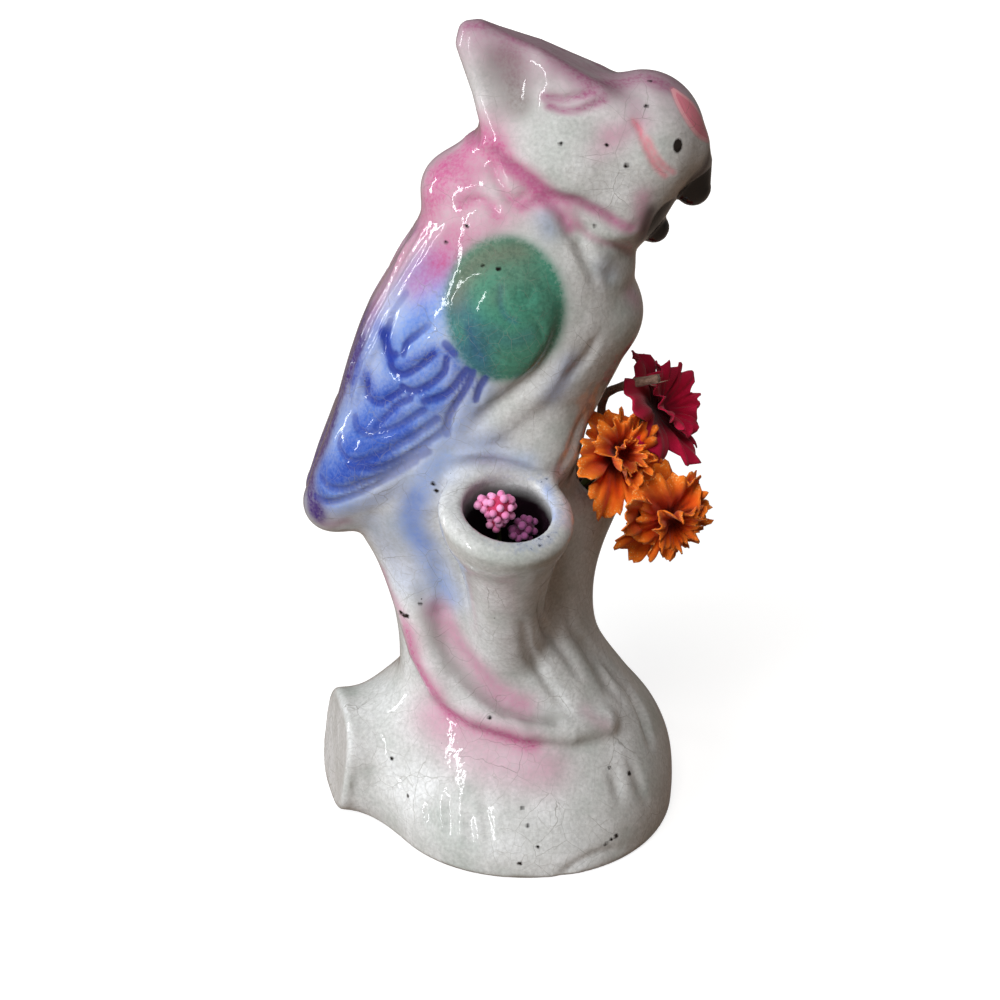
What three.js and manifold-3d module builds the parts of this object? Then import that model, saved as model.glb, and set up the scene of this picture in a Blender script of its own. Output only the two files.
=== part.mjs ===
// A glazed earthenware flower holder: a crested bird perched on a hollow tree stump, with cloth
// flowers in one branch stub and foam berries in the other.
// Millimetres. +X is the way the bird looks, +Z is up, Z = 0 is the flat foot, and Y = 0 is the
// bird's own plane of symmetry.
import * as THREE from "three";
import { mergeVertices } from "three/addons/utils/BufferGeometryUtils.js";
import Module from "manifold-3d";

const wasm = await Module();
wasm.setup();

// Driving dimensions

const TALL = 163.7;             // height of the whole figurine
const DRAWN_TALL = 163.7;       // height at which the stations and outlines below are drawn
const SIZE = TALL / DRAWN_TALL;
const CLAY_WALL = 3.8;          // even wall left by the slip
const SKIN_STEP = 3.3;          // spacing of the outer skin's facets
const INSIDE_STEP = 5.2;        // spacing of the facets inside
const SLIVER = 0.02;            // facets thinner than this are taken out after the cuts
const GAP = 0.35;               // air between neighbouring pieces

// Stations of the stump and body: height, rear, front, half width
const STACK = [
  [-6, -25.2, 35.9, 32.2], [0, -25.4, 36.2, 32.6], [5, -26.2, 36.4, 32.4], [11, -26.2, 35.8, 30.0],
  [18, -23.4, 33.0, 25.0], [26, -21.3, 27.2, 19.8], [36, -20.8, 20.8, 15.5], [46, -22.2, 17.8, 13.0],
  [54, -24.6, 17.0, 12.5], [62, -28.5, 16.0, 13.2], [70, -33.0, 15.5, 14.2], [76, -34.6, 15.5, 15.0],
  [84, -33.3, 17.0, 16.0], [92, -31.2, 20.4, 17.0], [100, -28.8, 24.0, 17.6],
  [108, -25.8, 26.0, 17.6], [116, -21.2, 25.0, 16.6], [124, -16.6, 23.8, 15.2],
  [131, -13.4, 20.0, 13.2], [137, -10.5, 13.0, 10.5], [142, -6.5, 7.0, 7.0],
];
const STACK_TOP = 142;
const FOOT_SWAY = -2.5;         // the foot sits this far toward the front branch
const SWAY_HEIGHT = 40;
const FOOT_SPARE = 3;           // clay below the foot that the flat cut takes away

// Front branch stub, open, leaning out of the stump
const CUP = {
  top: [1.4, -23.0, 77.0], axis: [0, -0.34, 0.94], rim: [0.15, -0.31, 0.94],
  at: [-6, 0, 4, 10, 20, 30, 44], radius: [12.4, 12.4, 11.9, 9.8, 7.6, 6.6, 6.2],
  deep: 44, lip: 1.8, section: 2,
};
// Branch stub under the breast, open, holding the flowers
const STUB = {
  top: [16.2, 7.0, 69.0], axis: [0.28, 0.04, 0.95], rim: [0.28, 0.04, 0.95],
  at: [-4, 0, 6, 16, 28, 44], radius: [9.8, 9.8, 9.2, 8.6, 9.6, 11.5],
  deep: 44, lip: 1.6, section: 2,
};
// Low sawn root, closed
const ROOT = {
  top: [-34.6, -4.5, 11.2], axis: [-0.955, -0.25, 0.14], rim: [-0.955, -0.25, 0.14],
  at: [-3, 0, 6, 14, 26], radius: [11.5, 11.5, 12.0, 14.8, 18.0],
  deep: 26, lip: 1.3, section: 3,
};
const CUP_BORE_R = 8.7;
const CUP_BORE_DEEP = 20;
const STUB_BORE_R = 7.0;
const STUB_BORE_DEEP = 22;

// Rolled root that runs round the stump, and the valley above it: x, y, z, radius
const ROLL = [
  [-18.5, -1.5, 60.0, 6.2], [-16.2, -6.0, 48.0, 5.2], [-14.4, -9.4, 38.8, 4.2],
  [-11.2, -13.4, 32.6, 3.6], [-4.2, -17.6, 28.8, 3.2], [5.0, -19.6, 26.4, 3.0],
  [14.0, -18.6, 24.6, 2.8], [21.0, -14.4, 23.8, 3.0],
];
const VALLEY = [
  [-13.0, -16.5, 70.0, 2.4], [-12.0, -14.5, 58.0, 2.6], [-11.4, -13.0, 48.0, 2.4],
  [-9.4, -15.0, 40.6, 2.2], [-5.2, -18.0, 35.4, 2.0], [1.5, -20.0, 31.0, 1.8],
  [11.0, -19.5, 28.6, 1.6],
];
// Side outline of the crest, x and z; half as thick as this at its tip and root
const CREST_THIN = 3;
const CREST_THICK = 9;
const CREST_RUN = 20;           // distance from tip to root
const CREST = [
  [-7.2, 163.2], [-8.0, 159.6], [-5.0, 151.5], [-3.2, 144.0], [6, 138], [20, 142], [24.0, 150.0],
  [19.3, 153.6], [13.5, 156.6], [7.6, 159.6], [0.0, 162.6], [-4.5, 164.2],
];

// Flowers
const LIFT_LEAN = 40;           // degrees from upright along which the posy pulls out
const STEM_R = 0.7;
const STEM_IN = 15.5;           // straight length of a stem inside the branch
const PETAL_THICK = 0.6;
const CALYX_R = 2.6;
const CALYX_LONG = 4.4;
const PIP_R = 0.85;
const PIP_WIRE_R = 0.45;

// Small helpers

const clamp = (v, lo, hi) => Math.min(Math.max(v, lo), hi);
const unit = (v) => new THREE.Vector3(...v).normalize().toArray();

// Soft union of two fields, negative inside
function blend(a, b, soft) {
  const h = clamp(0.5 + (0.5 * (b - a)) / soft, 0, 1);
  return b + (a - b) * h - soft * h * (1 - h);
}
const carve = (a, b, soft) => -blend(-a, b, soft);

// Two limits met with a rounded edge
function rounded(a, b, r) {
  return Math.min(Math.max(a, b), -r) + Math.hypot(Math.max(a + r, 0), Math.max(b + r, 0));
}

// Cubic through stations; each slope is that of the parabola through three neighbours
function track(at, value) {
  const last = at.length - 1;
  const slope = at.map((_, i) => {
    if (i === 0) return (value[1] - value[0]) / (at[1] - at[0]);
    if (i === last) return (value[last] - value[last - 1]) / (at[last] - at[last - 1]);
    const a = at[i] - at[i - 1], b = at[i + 1] - at[i];
    return (a * a * value[i + 1] + (b * b - a * a) * value[i] - b * b * value[i - 1]) / (a * b * (a + b));
  });
  return (x) => {
    let i = 0;
    while (i < last - 1 && x > at[i + 1]) i += 1;
    const w = at[i + 1] - at[i];
    const t = clamp((x - at[i]) / w, 0, 1), u = 1 - t;
    return (1 + 2 * t) * u * u * value[i] + t * u * u * w * slope[i]
      + t * t * (3 - 2 * t) * value[i + 1] - t * t * u * w * slope[i + 1];
  };
}

function ball(x, y, z, c, r) {
  const dx = x - c[0], dy = y - c[1], dz = z - c[2];
  const q = Math.hypot(dx / r[0], dy / r[1], dz / r[2]);
  const g = Math.hypot(dx / r[0] ** 2, dy / r[1] ** 2, dz / r[2] ** 2);
  return (q * (q - 1)) / Math.max(g, 1e-6);
}

// Rounded limb from a to b, squeezed in y by flat
function limb(x, y, z, a, b, ra, rb, flat = 1) {
  const d = [b[0] - a[0], b[1] - a[1], b[2] - a[2]];
  const p = [x - a[0], y - a[1], z - a[2]];
  const t = clamp((p[0] * d[0] + p[1] * d[1] + p[2] * d[2]) / (d[0] ** 2 + d[1] ** 2 + d[2] ** 2), 0, 1);
  return Math.hypot(p[0] - d[0] * t, (p[1] - d[1] * t) / flat, p[2] - d[2] * t) - (ra + (rb - ra) * t);
}

const rope = (x, y, z, path) => path.slice(1).reduce(
  (least, b, i) => Math.min(least, limb(x, y, z, path[i], b, path[i][3], b[3])), 1e9);

// Distance to a closed outline in the plane, negative inside
function outline(px, pz, poly) {
  let least = 1e18, sign = 1;
  poly.forEach((a, i) => {
    const b = poly[(i + poly.length - 1) % poly.length];
    const ex = b[0] - a[0], ez = b[1] - a[1], wx = px - a[0], wz = pz - a[1];
    const t = clamp((wx * ex + wz * ez) / (ex * ex + ez * ez), 0, 1);
    least = Math.min(least, (wx - ex * t) ** 2 + (wz - ez * t) ** 2);
    const over = pz >= a[1], under = pz < b[1], left = ex * wz > ez * wx;
    if ((over && under && left) || (!over && !under && !left)) sign = -sign;
  });
  return sign * Math.sqrt(least);
}

// The casting's form as a field

const rear = track(STACK.map((s) => s[0]), STACK.map((s) => s[1]));
const front = track(STACK.map((s) => s[0]), STACK.map((s) => s[2]));
const half = track(STACK.map((s) => s[0]), STACK.map((s) => s[3]));

function stack(x, y, z) {
  const r = (front(z) - rear(z)) / 2, m = (front(z) + rear(z)) / 2, h = half(z);
  const q = (Math.abs((x - m) / r) ** 2.1 + Math.abs(y / h) ** 2.1) ** (1 / 2.1);
  return Math.max((q - 1) * Math.min(r, h) * 0.92, z - STACK_TOP);
}

// A branch stub: a turned body on its axis, cut by the plane of its rim
function branch(spec) {
  const axis = unit(spec.axis), rim = unit(spec.rim);
  const across = unit([axis[1], -axis[0], 0]);
  const radius = track(spec.at, spec.radius);
  return (x, y, z) => {
    const p = [x - spec.top[0], y - spec.top[1], z - spec.top[2]];
    const s = p[0] * axis[0] + p[1] * axis[1] + p[2] * axis[2];
    const u = p[0] * across[0] + p[1] * across[1];
    const all = p[0] ** 2 + p[1] ** 2 + p[2] ** 2 - s * s;
    const v = Math.sqrt(Math.max(all - u * u, 0));
    const r = (Math.abs(u) ** spec.section + v ** spec.section) ** (1 / spec.section);
    const mouth = p[0] * rim[0] + p[1] * rim[1] + p[2] * rim[2];
    return Math.max(rounded((r - radius(-s)) * 0.94, mouth, spec.lip), -s - spec.deep);
  };
}
const cup = branch(CUP), stub = branch(STUB), root = branch(ROOT);

function crest(x, y, z) {
  const run = clamp(((x - CREST[0][0]) * 0.55 + (CREST[0][1] - z) * 0.83) / CREST_RUN, 0, 1.1);
  const thick = CREST_THIN + (CREST_THICK - CREST_THIN) * run;
  return rounded(outline(x, z, CREST) * 0.95, (Math.abs(y) - thick) * 0.9, 2.8);
}

// Stump, branches, body and head without their trimmings, with or without the front stub
function masses(x, y, z, fronted) {
  const side = Math.abs(y);
  const sway = FOOT_SWAY * (1 - clamp(z / SWAY_HEIGHT, 0, 1)) ** 2;
  let f = stack(x, y - sway, z);
  f = blend(f, stub(x, y, z), 4);
  f = blend(f, root(x, y, z), 8);
  if (fronted) f = blend(f, cup(x, y, z), 2.6);
  f = blend(f, limb(x, side, z, [1, 12, 108], [-26.5, 8.5, 76], 10.5, 6, 0.72), 1.6);
  f = blend(f, ball(x, y, z, [12, 0, 138.5], [16.5, 12.8, 13.6]), 3);
  f = blend(f, ball(x, y, z, [26.2, 0, 142], [11.6, 10.8, 12.7]), 4);
  return blend(f, ball(x, y, z, [20, 0, 130.5], [11.5, 10.5, 9.5]), 4);
}

// The whole skin: rolled root, nape, tail, shoulders, breast, thighs, crest and beak added
function skin(x, y, z) {
  const side = Math.abs(y);
  let f = masses(x, y, z, true);
  f = blend(f, rope(x, y, z, ROLL), 1.6);
  f = carve(f, rope(x, y, z, VALLEY), 1.6);
  f = blend(f, cup(x, y, z), 2.6);
  f = blend(f, ball(x, y, z, [-7.4, 0, 133], [7.2, 8.5, 6.4]), 3);
  f = blend(f, limb(x, side, z, [-25, 7, 82], [-33, 3.5, 68.8], 8, 6), 4);
  f = blend(f, ball(x, side, z, [1.6, 12.6, 111], [11.2, 7.6, 12.2]), 0.8);
  f = blend(f, ball(x, y, z, [18.6, 0, 108], [8.4, 10, 8.5]), 2.5);
  f = blend(f, ball(x, y, z, [18.6, 0, 118], [6.6, 9.5, 6]), 2);
  f = blend(f, ball(x, side, z, [6.5, 8, 85], [9, 8, 11]), 3);
  f = blend(f, ball(x, y, z, [34, 0, 140.2], [4.6, 5, 4.6]), 2);
  f = blend(f, crest(x, y, z), 3);
  f = carve(f, ball(x, side, z, [1.5, 9.6, 157], [6, 5.2, 8.5]), 2.5);
  f = blend(f, limb(x, y, z, [34.8, 0, 137], [35.9, 0, 132.6], 4.6, 3.4, 0.85), 1);
  f = blend(f, limb(x, y, z, [27.4, 0, 126.6], [28.9, 0, 124.8], 3.6, 2.9, 0.9), 0.8);
  return Math.max(f, -FOOT_SPARE - z);
}
// The hollow left by the slip; the front stub is too narrow to drain and stays shut at its bore's floor
const inside = (x, y, z) => Math.max(masses(x, y, z, false) + CLAY_WALL / SIZE, CLAY_WALL / SIZE - z);
// Box round the drawn casting, with a margin for the blends
const MARGIN = 8;
const reach = (spec, k) => [spec.top[k] - spec.radius[0], spec.top[k] + spec.radius[0]];
const spread = (...values) => [Math.min(...values) - MARGIN, Math.max(...values) + MARGIN];
const BOX = [
  spread(...STACK.flatMap((s) => [s[1], s[2]]), ...reach(CUP, 0), ...reach(STUB, 0), ROOT.top[0]),
  spread(...STACK.flatMap((s) => [-s[3], s[3]]), ...reach(CUP, 1), ...reach(STUB, 1)),
  spread(0, ...CREST.map((p) => p[1])),
];

// Closed skin of a field: one vertex in every cell that the surface crosses, then drawn onto it
function polygonise(field, low, high, step) {
  const n = low.map((v, k) => Math.ceil((high[k] - v) / step) + 1);
  const at = (i, j, k) => (i * n[1] + j) * n[2] + k;
  const value = new Float64Array(n[0] * n[1] * n[2]);
  for (let i = 0; i < n[0]; i += 1) {
    for (let j = 0; j < n[1]; j += 1) {
      for (let k = 0; k < n[2]; k += 1) {
        value[at(i, j, k)] = field(low[0] + i * step, low[1] + j * step, low[2] + k * step);
      }
    }
  }
  const steps = [at(1, 0, 0), at(0, 1, 0), at(0, 0, 1)];
  const corners = [0, 1, 2, 3, 4, 5, 6, 7].map((c) => [c & 1, (c >> 1) & 1, (c >> 2) & 1]);
  const owner = new Map(), points = [], faces = [];
  for (let i = 0; i < n[0] - 1; i += 1) {
    for (let j = 0; j < n[1] - 1; j += 1) {
      for (let k = 0; k < n[2] - 1; k += 1) {
        const sum = [0, 0, 0];
        let crossings = 0;
        corners.forEach((c) => {
          const a = value[at(i + c[0], j + c[1], k + c[2])];
          for (let d = 0; d < 3; d += 1) {
            if (c[d]) continue;
            const b = value[at(i + c[0], j + c[1], k + c[2]) + steps[d]];
            if ((a < 0) === (b < 0)) continue;
            const p = [c[0], c[1], c[2]];
            p[d] += a / (a - b);
            sum.forEach((_, m) => { sum[m] += p[m]; });
            crossings += 1;
          }
        });
        if (!crossings) continue;
        owner.set(at(i, j, k), points.length);
        points.push([i, j, k].map((v, m) => low[m] + (v + sum[m] / crossings) * step));
      }
    }
  }
  // Newton steps bring every vertex onto the surface, within its own cell
  const h = 0.05;
  points.forEach((p) => {
    const home = [...p];
    for (let round = 0; round < 3; round += 1) {
      const d = field(...p);
      const g = [0, 1, 2].map((m) => {
        const a = [...p], b = [...p];
        a[m] += h; b[m] -= h;
        return (field(...a) - field(...b)) / (2 * h);
      });
      const size = Math.max(g[0] ** 2 + g[1] ** 2 + g[2] ** 2, 0.05);
      p.forEach((v, m) => {
        p[m] = clamp(v - (d * g[m]) / size, home[m] - step / 3, home[m] + step / 3);
      });
    }
  });
  const far = (a, b) => Math.hypot(...points[a].map((v, m) => v - points[b][m]));
  for (let i = 1; i < n[0] - 1; i += 1) {
    for (let j = 1; j < n[1] - 1; j += 1) {
      for (let k = 1; k < n[2] - 1; k += 1) {
        const here = at(i, j, k);
        for (let d = 0; d < 3; d += 1) {
          const a = value[here] < 0, b = value[here + steps[d]] < 0;
          if (a === b) continue;
          const u = steps[(d + 1) % 3], v = steps[(d + 2) % 3];
          const q = [here - u - v, here - v, here, here - u].map((c) => owner.get(c));
          if (b) q.reverse();
          if (far(q[0], q[2]) < far(q[1], q[3])) faces.push([q[0], q[1], q[2]], [q[0], q[2], q[3]]);
          else faces.push([q[1], q[2], q[3]], [q[1], q[3], q[0]]);
        }
      }
    }
  }
  const geometry = new THREE.BufferGeometry();
  geometry.setAttribute("position", new THREE.Float32BufferAttribute(points.flat(), 3));
  geometry.setIndex(faces.flat());
  return geometry;
}

// Solids for joining and cutting

function solid(geometry, matrix) {
  const g = geometry.clone();
  g.deleteAttribute("normal");
  g.deleteAttribute("uv");
  if (matrix) g.applyMatrix4(matrix);
  const m = mergeVertices(g, 1e-4);
  return new wasm.Manifold(new wasm.Mesh({
    numProp: 3,
    vertProperties: new Float32Array(m.attributes.position.array),
    triVerts: new Uint32Array(m.index.array),
  }));
}
// True where every edge belongs to just two facets
function closed(geometry) {
  const index = geometry.index.array, uses = new Map();
  for (let t = 0; t < index.length; t += 1) {
    const a = index[t], b = index[t % 3 === 2 ? t - 2 : t + 1];
    const edge = Math.min(a, b) * 1e6 + Math.max(a, b);
    uses.set(edge, (uses.get(edge) ?? 0) + 1);
  }
  return [...uses.values()].every((n) => n === 2);
}
// A drawn field at its real size. Where two walls fold into one cell the skin isn't closed, so a
// slightly finer spacing is taken
function formed(field, step) {
  const low = BOX.map((b) => b[0]), high = BOX.map((b) => b[1]);
  let finer = step, geometry = polygonise(field, low, high, finer);
  while (!closed(geometry)) {
    finer *= 0.985;
    geometry = polygonise(field, low, high, finer);
  }
  return solid(geometry, new THREE.Matrix4().makeScale(SIZE, SIZE, SIZE));
}
function surface(body) {
  const mesh = body.getMesh();
  const geometry = new THREE.BufferGeometry();
  geometry.setAttribute("position", new THREE.Float32BufferAttribute(mesh.vertProperties, 3));
  geometry.setIndex(Array.from(mesh.triVerts));
  return geometry;
}
// Places a piece turned on +Y so that +Y runs along the axis from the point
function stand(point, axis) {
  const turn = new THREE.Quaternion().setFromUnitVectors(
    new THREE.Vector3(0, 1, 0), new THREE.Vector3(...unit(axis)));
  return new THREE.Matrix4().compose(new THREE.Vector3(...point), turn, new THREE.Vector3(1, 1, 1));
}
// A drawn point, and a drawn profile, at their real size
const real = (p) => p.map((v) => v * SIZE);
const turned = (profile, segments) => new THREE.LatheGeometry(
  profile.map(([r, h]) => new THREE.Vector2(r, h)), segments);

// The glazed casting

const floorCut = solid(new THREE.BoxGeometry(TALL, TALL, TALL),
  new THREE.Matrix4().makeTranslation(0, 0, -TALL / 2));
const cupBore = solid(turned([
  [0, -CUP_BORE_DEEP], [CUP_BORE_R * 0.53, -CUP_BORE_DEEP], [CUP_BORE_R * 0.735, -CUP_BORE_DEEP * 0.6],
  [CUP_BORE_R - 0.4, -CUP_BORE_DEEP * 0.2], [CUP_BORE_R, CUP_BORE_DEEP * 0.4], [0, CUP_BORE_DEEP * 0.4],
].map(real), 28), stand(real(CUP.top), CUP.axis));
const stubBore = solid(turned([
  [0, -STUB_BORE_DEEP], [STUB_BORE_R * 0.77, -STUB_BORE_DEEP], [STUB_BORE_R - 0.4, -STUB_BORE_DEEP / 4],
  [STUB_BORE_R, STUB_BORE_DEEP / 4], [0, STUB_BORE_DEEP / 4],
].map(real), 24), stand(real(STUB.top), STUB.axis));
// Smooth turned lip over the top few millimetres of an open stub
function collar(spec) {
  const r = spec.radius[1], fall = spec.lip;
  const profile = [[0, -5], [r - 1.4, -5], [r - 0.2, -3.2], [r + 0.12, -fall], [r - fall / 4, -fall / 4],
    [r - fall, 0.05], [0, 0.05]];
  return solid(turned(profile.map(real), 36), stand(real(spec.top), spec.rim));
}
const casting = formed(skin, SKIN_STEP)
  .add(collar(CUP))
  .add(collar(STUB))
  .subtract(floorCut)
  .subtract(formed(inside, INSIDE_STEP))
  .subtract(cupBore)
  .subtract(stubBore)
  .decompose()
  .sort((a, b) => b.volume() - a.volume())[0]    // crumbs where bore and hollow meet drop out
  .simplify(SLIVER);

const figure = new THREE.Group();
function add(parent, name, geometry, color, roughness = 0.8, metalness = 0) {
  const mesh = new THREE.Mesh(geometry, new THREE.MeshStandardMaterial({ color, roughness, metalness }));
  mesh.name = name;
  parent.add(mesh);
  return mesh;
}
add(figure, "figurine", surface(casting), 0xd9d4cd, 0.12);

// Cloth blooms

// One ruffled layer: cupped, waved, toothed at the edge. The layers of a bloom share one wave
function petals(shape, radius, lift) {
  const { wide, tall, cupped, wave, waves, phase, teeth } = shape;
  const rings = 3, around = 24;
  const points = [], faces = [];
  const height = (r, a) => lift + cupped * r * r + wave * r * r * Math.cos(waves * a + phase);
  const put = (r, a, side) => points.push(
    [wide * r * Math.cos(a), tall * r * Math.sin(a), height(r, a) + (side * PETAL_THICK) / 2]);
  for (const side of [-1, 1]) {
    put(0, 0, side);
    for (let i = 1; i <= rings; i += 1) {
      for (let j = 0; j < around; j += 1) {
        const notch = i === rings && j % 2 ? teeth : 0;
        put((radius * i) / rings - notch, (2 * Math.PI * j) / around, side);
      }
    }
  }
  const face = (a, b, c, side) => faces.push(side > 0 ? [a, b, c] : [a, c, b]);
  const each = 1 + rings * around;
  [-1, 1].forEach((side, s) => {
    const id = (i, j) => s * each + (i === 0 ? 0 : 1 + (i - 1) * around + (j % around));
    for (let j = 0; j < around; j += 1) {
      face(id(0, 0), id(1, j), id(1, j + 1), side);
      for (let i = 1; i < rings; i += 1) {
        face(id(i, j), id(i + 1, j), id(i + 1, j + 1), side);
        face(id(i, j), id(i + 1, j + 1), id(i, j + 1), side);
      }
    }
  });
  const edge = 1 + (rings - 1) * around;
  for (let j = 0; j < around; j += 1) {
    const a = edge + j, b = edge + ((j + 1) % around);
    faces.push([a, b, b + each], [a, b + each, a + each]);
  }
  const geometry = new THREE.BufferGeometry();
  geometry.setAttribute("position", new THREE.Float32BufferAttribute(points.flat(), 3));
  geometry.setIndex(faces.flat());
  return geometry;
}

const lean = THREE.MathUtils.degToRad(LIFT_LEAN);
const PULL = [Math.sin(lean), 0, Math.cos(lean)];

// A round wire through the points
function wire(points, radius, steps) {
  const path = new THREE.CatmullRomCurve3(points.map((p) => new THREE.Vector3(...p)), false, "centripetal");
  const round = new THREE.Shape().absarc(0, 0, radius, 0, 2 * Math.PI);
  return new THREE.ExtrudeGeometry(round, {
    steps, curveSegments: 4, bevelEnabled: false, extrudePath: path,
  });
}
// The end of a stem in the branch and its straight run along the pull
const rooted = (from) => [0, 0.5, 1].map((t) => real(from.map((v, m) => v + PULL[m] * STEM_IN * t)));

function bloom(name, spec) {
  const facing = new THREE.Vector3(...unit(spec.facing));
  const group = new THREE.Group();
  group.position.set(...real(spec.centre));
  group.up.set(0, 0, 1);
  group.lookAt(group.position.clone().add(facing));
  figure.add(group);
  spec.layers.forEach(([label, radius, lift, color]) => {
    add(group, `${name}_${label}_petals`, petals(spec, radius * SIZE, lift * SIZE), color, 0.75);
  });
  const foot = spec.layers[0][2] * SIZE - PETAL_THICK / 2 - GAP;
  const calyx = turned([
    [0, -CALYX_LONG], [STEM_R + 0.6, -CALYX_LONG], [CALYX_R, -0.6], [CALYX_R, 0], [0, 0],
  ], 14);
  calyx.rotateX(Math.PI / 2);
  calyx.translate(0, 0, foot);
  add(group, `${name}_calyx`, calyx, 0x6f7a3c, 0.55);
  const behind = (d) => facing.clone()
    .multiplyScalar(foot - CALYX_LONG - GAP - d).add(group.position).toArray();
  add(figure, `${name}_stem`,
    wire([...rooted(spec.stem), ...spec.over.map(real), behind(2.5), behind(0)], STEM_R, 14), 0x4f6b34, 0.5);
}

bloom("upper_bloom", {
  centre: [23.7, -4.0, 79.4], facing: [0.30, -0.86, 0.42],
  stem: [10.17, 6.93, 56.2], over: [[20.9, 5.0, 72.6]],
  wide: 0.84, tall: 1.08, cupped: 0.030, wave: 0.016, waves: 5, phase: 0.4, teeth: 1.3,
  layers: [["outer", 8.8, -2.2, 0xd9661c], ["middle", 7.3, -0.7, 0xe27a24], ["inner", 5.4, 0.8, 0xea8a34]],
});
bloom("lower_bloom", {
  centre: [33.9, -4.8, 65.2], facing: [0.35, -0.93, 0.10], stem: [7.86, 6.75, 56.87],
  over: [[23.0, 7.4, 76.0], [28.4, 6.9, 73.6]],
  wide: 0.94, tall: 1.04, cupped: 0.028, wave: 0.018, waves: 6, phase: 1.1, teeth: 1.6,
  layers: [["outer", 9.8, -2.2, 0xd65e12], ["middle", 8.1, -0.7, 0xe07018], ["inner", 6.0, 0.8, 0xe8832a]],
});
bloom("red_bloom", {
  centre: [32.0, 8.4, 83.6], facing: [0.72, -0.36, 0.58], stem: [10.71, 9.58, 55.92], over: [],
  wide: 0.92, tall: 1.06, cupped: 0.026, wave: 0.020, waves: 6, phase: 0.2, teeth: 1.8,
  layers: [["outer", 11.2, -1.0, 0x8c0f33], ["inner", 8.0, 0.6, 0xa8163f]],
});

// Cut stalk left among the blooms
const STALK_R = 0.95;
const STALK_ROOT = [8.5, 8.99, 56.59];
const STALK = [
  [19.7, 9.0, 75.0], [20.1, 6.8, 82.0], [20.9, 4.6, 88.4], [25.0, 2.0, 91.6], [30.8, -0.4, 94.0],
];
add(figure, "cut_stalk",
  wire([...rooted(STALK_ROOT), ...STALK.map(real)], STALK_R, 18), 0x7a5a45, 0.8);

// Foam berries on wires in the front stub

// Where a wire stands on the floor of the front stub's bore, to one side of its axis
const cupFloor = (side) => new THREE.Vector3(...real(CUP.top)).addScaledVector(
  new THREE.Vector3(...unit(CUP.axis)), GAP + PIP_WIRE_R / 2 - CUP_BORE_DEEP * SIZE)
  .add(new THREE.Vector3(side, 0, 0));

function berries(name, drawn, core, count, side) {
  const centre = real(drawn);
  let body = solid(new THREE.IcosahedronGeometry(core, 1), new THREE.Matrix4().makeTranslation(...centre));
  for (let i = 0; i < count; i += 1) {
    const up = 1 - (2 * (i + 0.5)) / count, a = i * Math.PI * (3 - Math.sqrt(5));
    const ring = Math.sqrt(1 - up * up);
    const p = [ring * Math.cos(a), ring * Math.sin(a), up].map((v, m) => centre[m] + v * core);
    const pip = new THREE.IcosahedronGeometry(PIP_R, 0);
    body = body.add(solid(pip, new THREE.Matrix4().makeTranslation(...p)));
  }
  add(figure, name, surface(body), 0xe08ab8, 0.9);
  const root = cupFloor(side);
  const out = new THREE.Vector3(...centre).sub(root).normalize();
  const end = new THREE.Vector3(...centre).addScaledVector(out, -(core + PIP_R + GAP));
  add(figure, `${name}_wire`, wire([root.toArray(), end.toArray()], PIP_WIRE_R, 1), 0x3d5a30, 0.5);
}
berries("large_berries", [-0.6, -20.0, 75.5], 3.3, 30, -0.9);
berries("small_berries", [5.0, -18.8, 70.9], 1.9, 14, 1.3);

export default figure;
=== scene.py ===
# %% [markdown]
# # A glazed earthenware parrot with cloth flowers
#
# The object is a slip-cast bird on a tree stump. It was poured in a plaster mould, sprayed with a few
# colours by airbrush, dipped in clear glaze and fired once. The glaze has crazed with age. Two open
# branch stubs serve as a small vase: one holds a posy of cloth flowers, the other two sprigs of foam
# berries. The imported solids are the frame: every piece below stands where its solid stands.

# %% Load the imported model
import math

import bpy
import numpy as np
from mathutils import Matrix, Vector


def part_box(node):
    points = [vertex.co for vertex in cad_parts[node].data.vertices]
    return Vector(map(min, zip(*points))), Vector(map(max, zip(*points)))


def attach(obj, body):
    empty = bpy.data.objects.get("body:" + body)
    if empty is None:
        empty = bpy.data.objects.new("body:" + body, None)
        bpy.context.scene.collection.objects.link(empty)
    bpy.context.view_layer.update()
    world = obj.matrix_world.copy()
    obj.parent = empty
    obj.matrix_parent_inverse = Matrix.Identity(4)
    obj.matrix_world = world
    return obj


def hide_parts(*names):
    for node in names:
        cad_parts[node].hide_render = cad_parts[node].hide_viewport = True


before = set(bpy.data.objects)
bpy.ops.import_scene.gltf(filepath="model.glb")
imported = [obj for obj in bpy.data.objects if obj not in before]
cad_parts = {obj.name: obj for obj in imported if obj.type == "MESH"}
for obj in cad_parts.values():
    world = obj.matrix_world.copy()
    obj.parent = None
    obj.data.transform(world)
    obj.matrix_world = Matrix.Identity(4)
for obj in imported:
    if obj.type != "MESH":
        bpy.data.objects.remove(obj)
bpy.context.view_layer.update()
MM = 0.001

# %% [markdown]
# ## The camera
#
# The photograph looks down on the bird at about 27 degrees from a little over an arm's length of a
# telephone. A long lens at that height gives the same view of the stump's foot and of the open stub.

# %% Stand the camera in front of the near side
LOOK_AT = (0.0, 0.0, 67.3 * MM)
LOOK_DOWN = math.radians(27)
CAMERA_AWAY = 430 * MM
SENSOR = 36.0
LENS = 77.4

camera_data = bpy.data.cameras.new("camera")
camera_data.sensor_width = SENSOR
camera_data.lens = LENS
camera_data.clip_start = 0.02
camera_data.clip_end = 20
camera = bpy.data.objects.new("camera", camera_data)
bpy.context.scene.collection.objects.link(camera)
camera.location = (LOOK_AT[0], LOOK_AT[1] - CAMERA_AWAY * math.cos(LOOK_DOWN),
                   LOOK_AT[2] + CAMERA_AWAY * math.sin(LOOK_DOWN))
camera.rotation_euler = (math.radians(90) - LOOK_DOWN, 0, 0)
bpy.context.scene.camera = camera
print("camera at", [round(v, 4) for v in camera.location])

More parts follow.
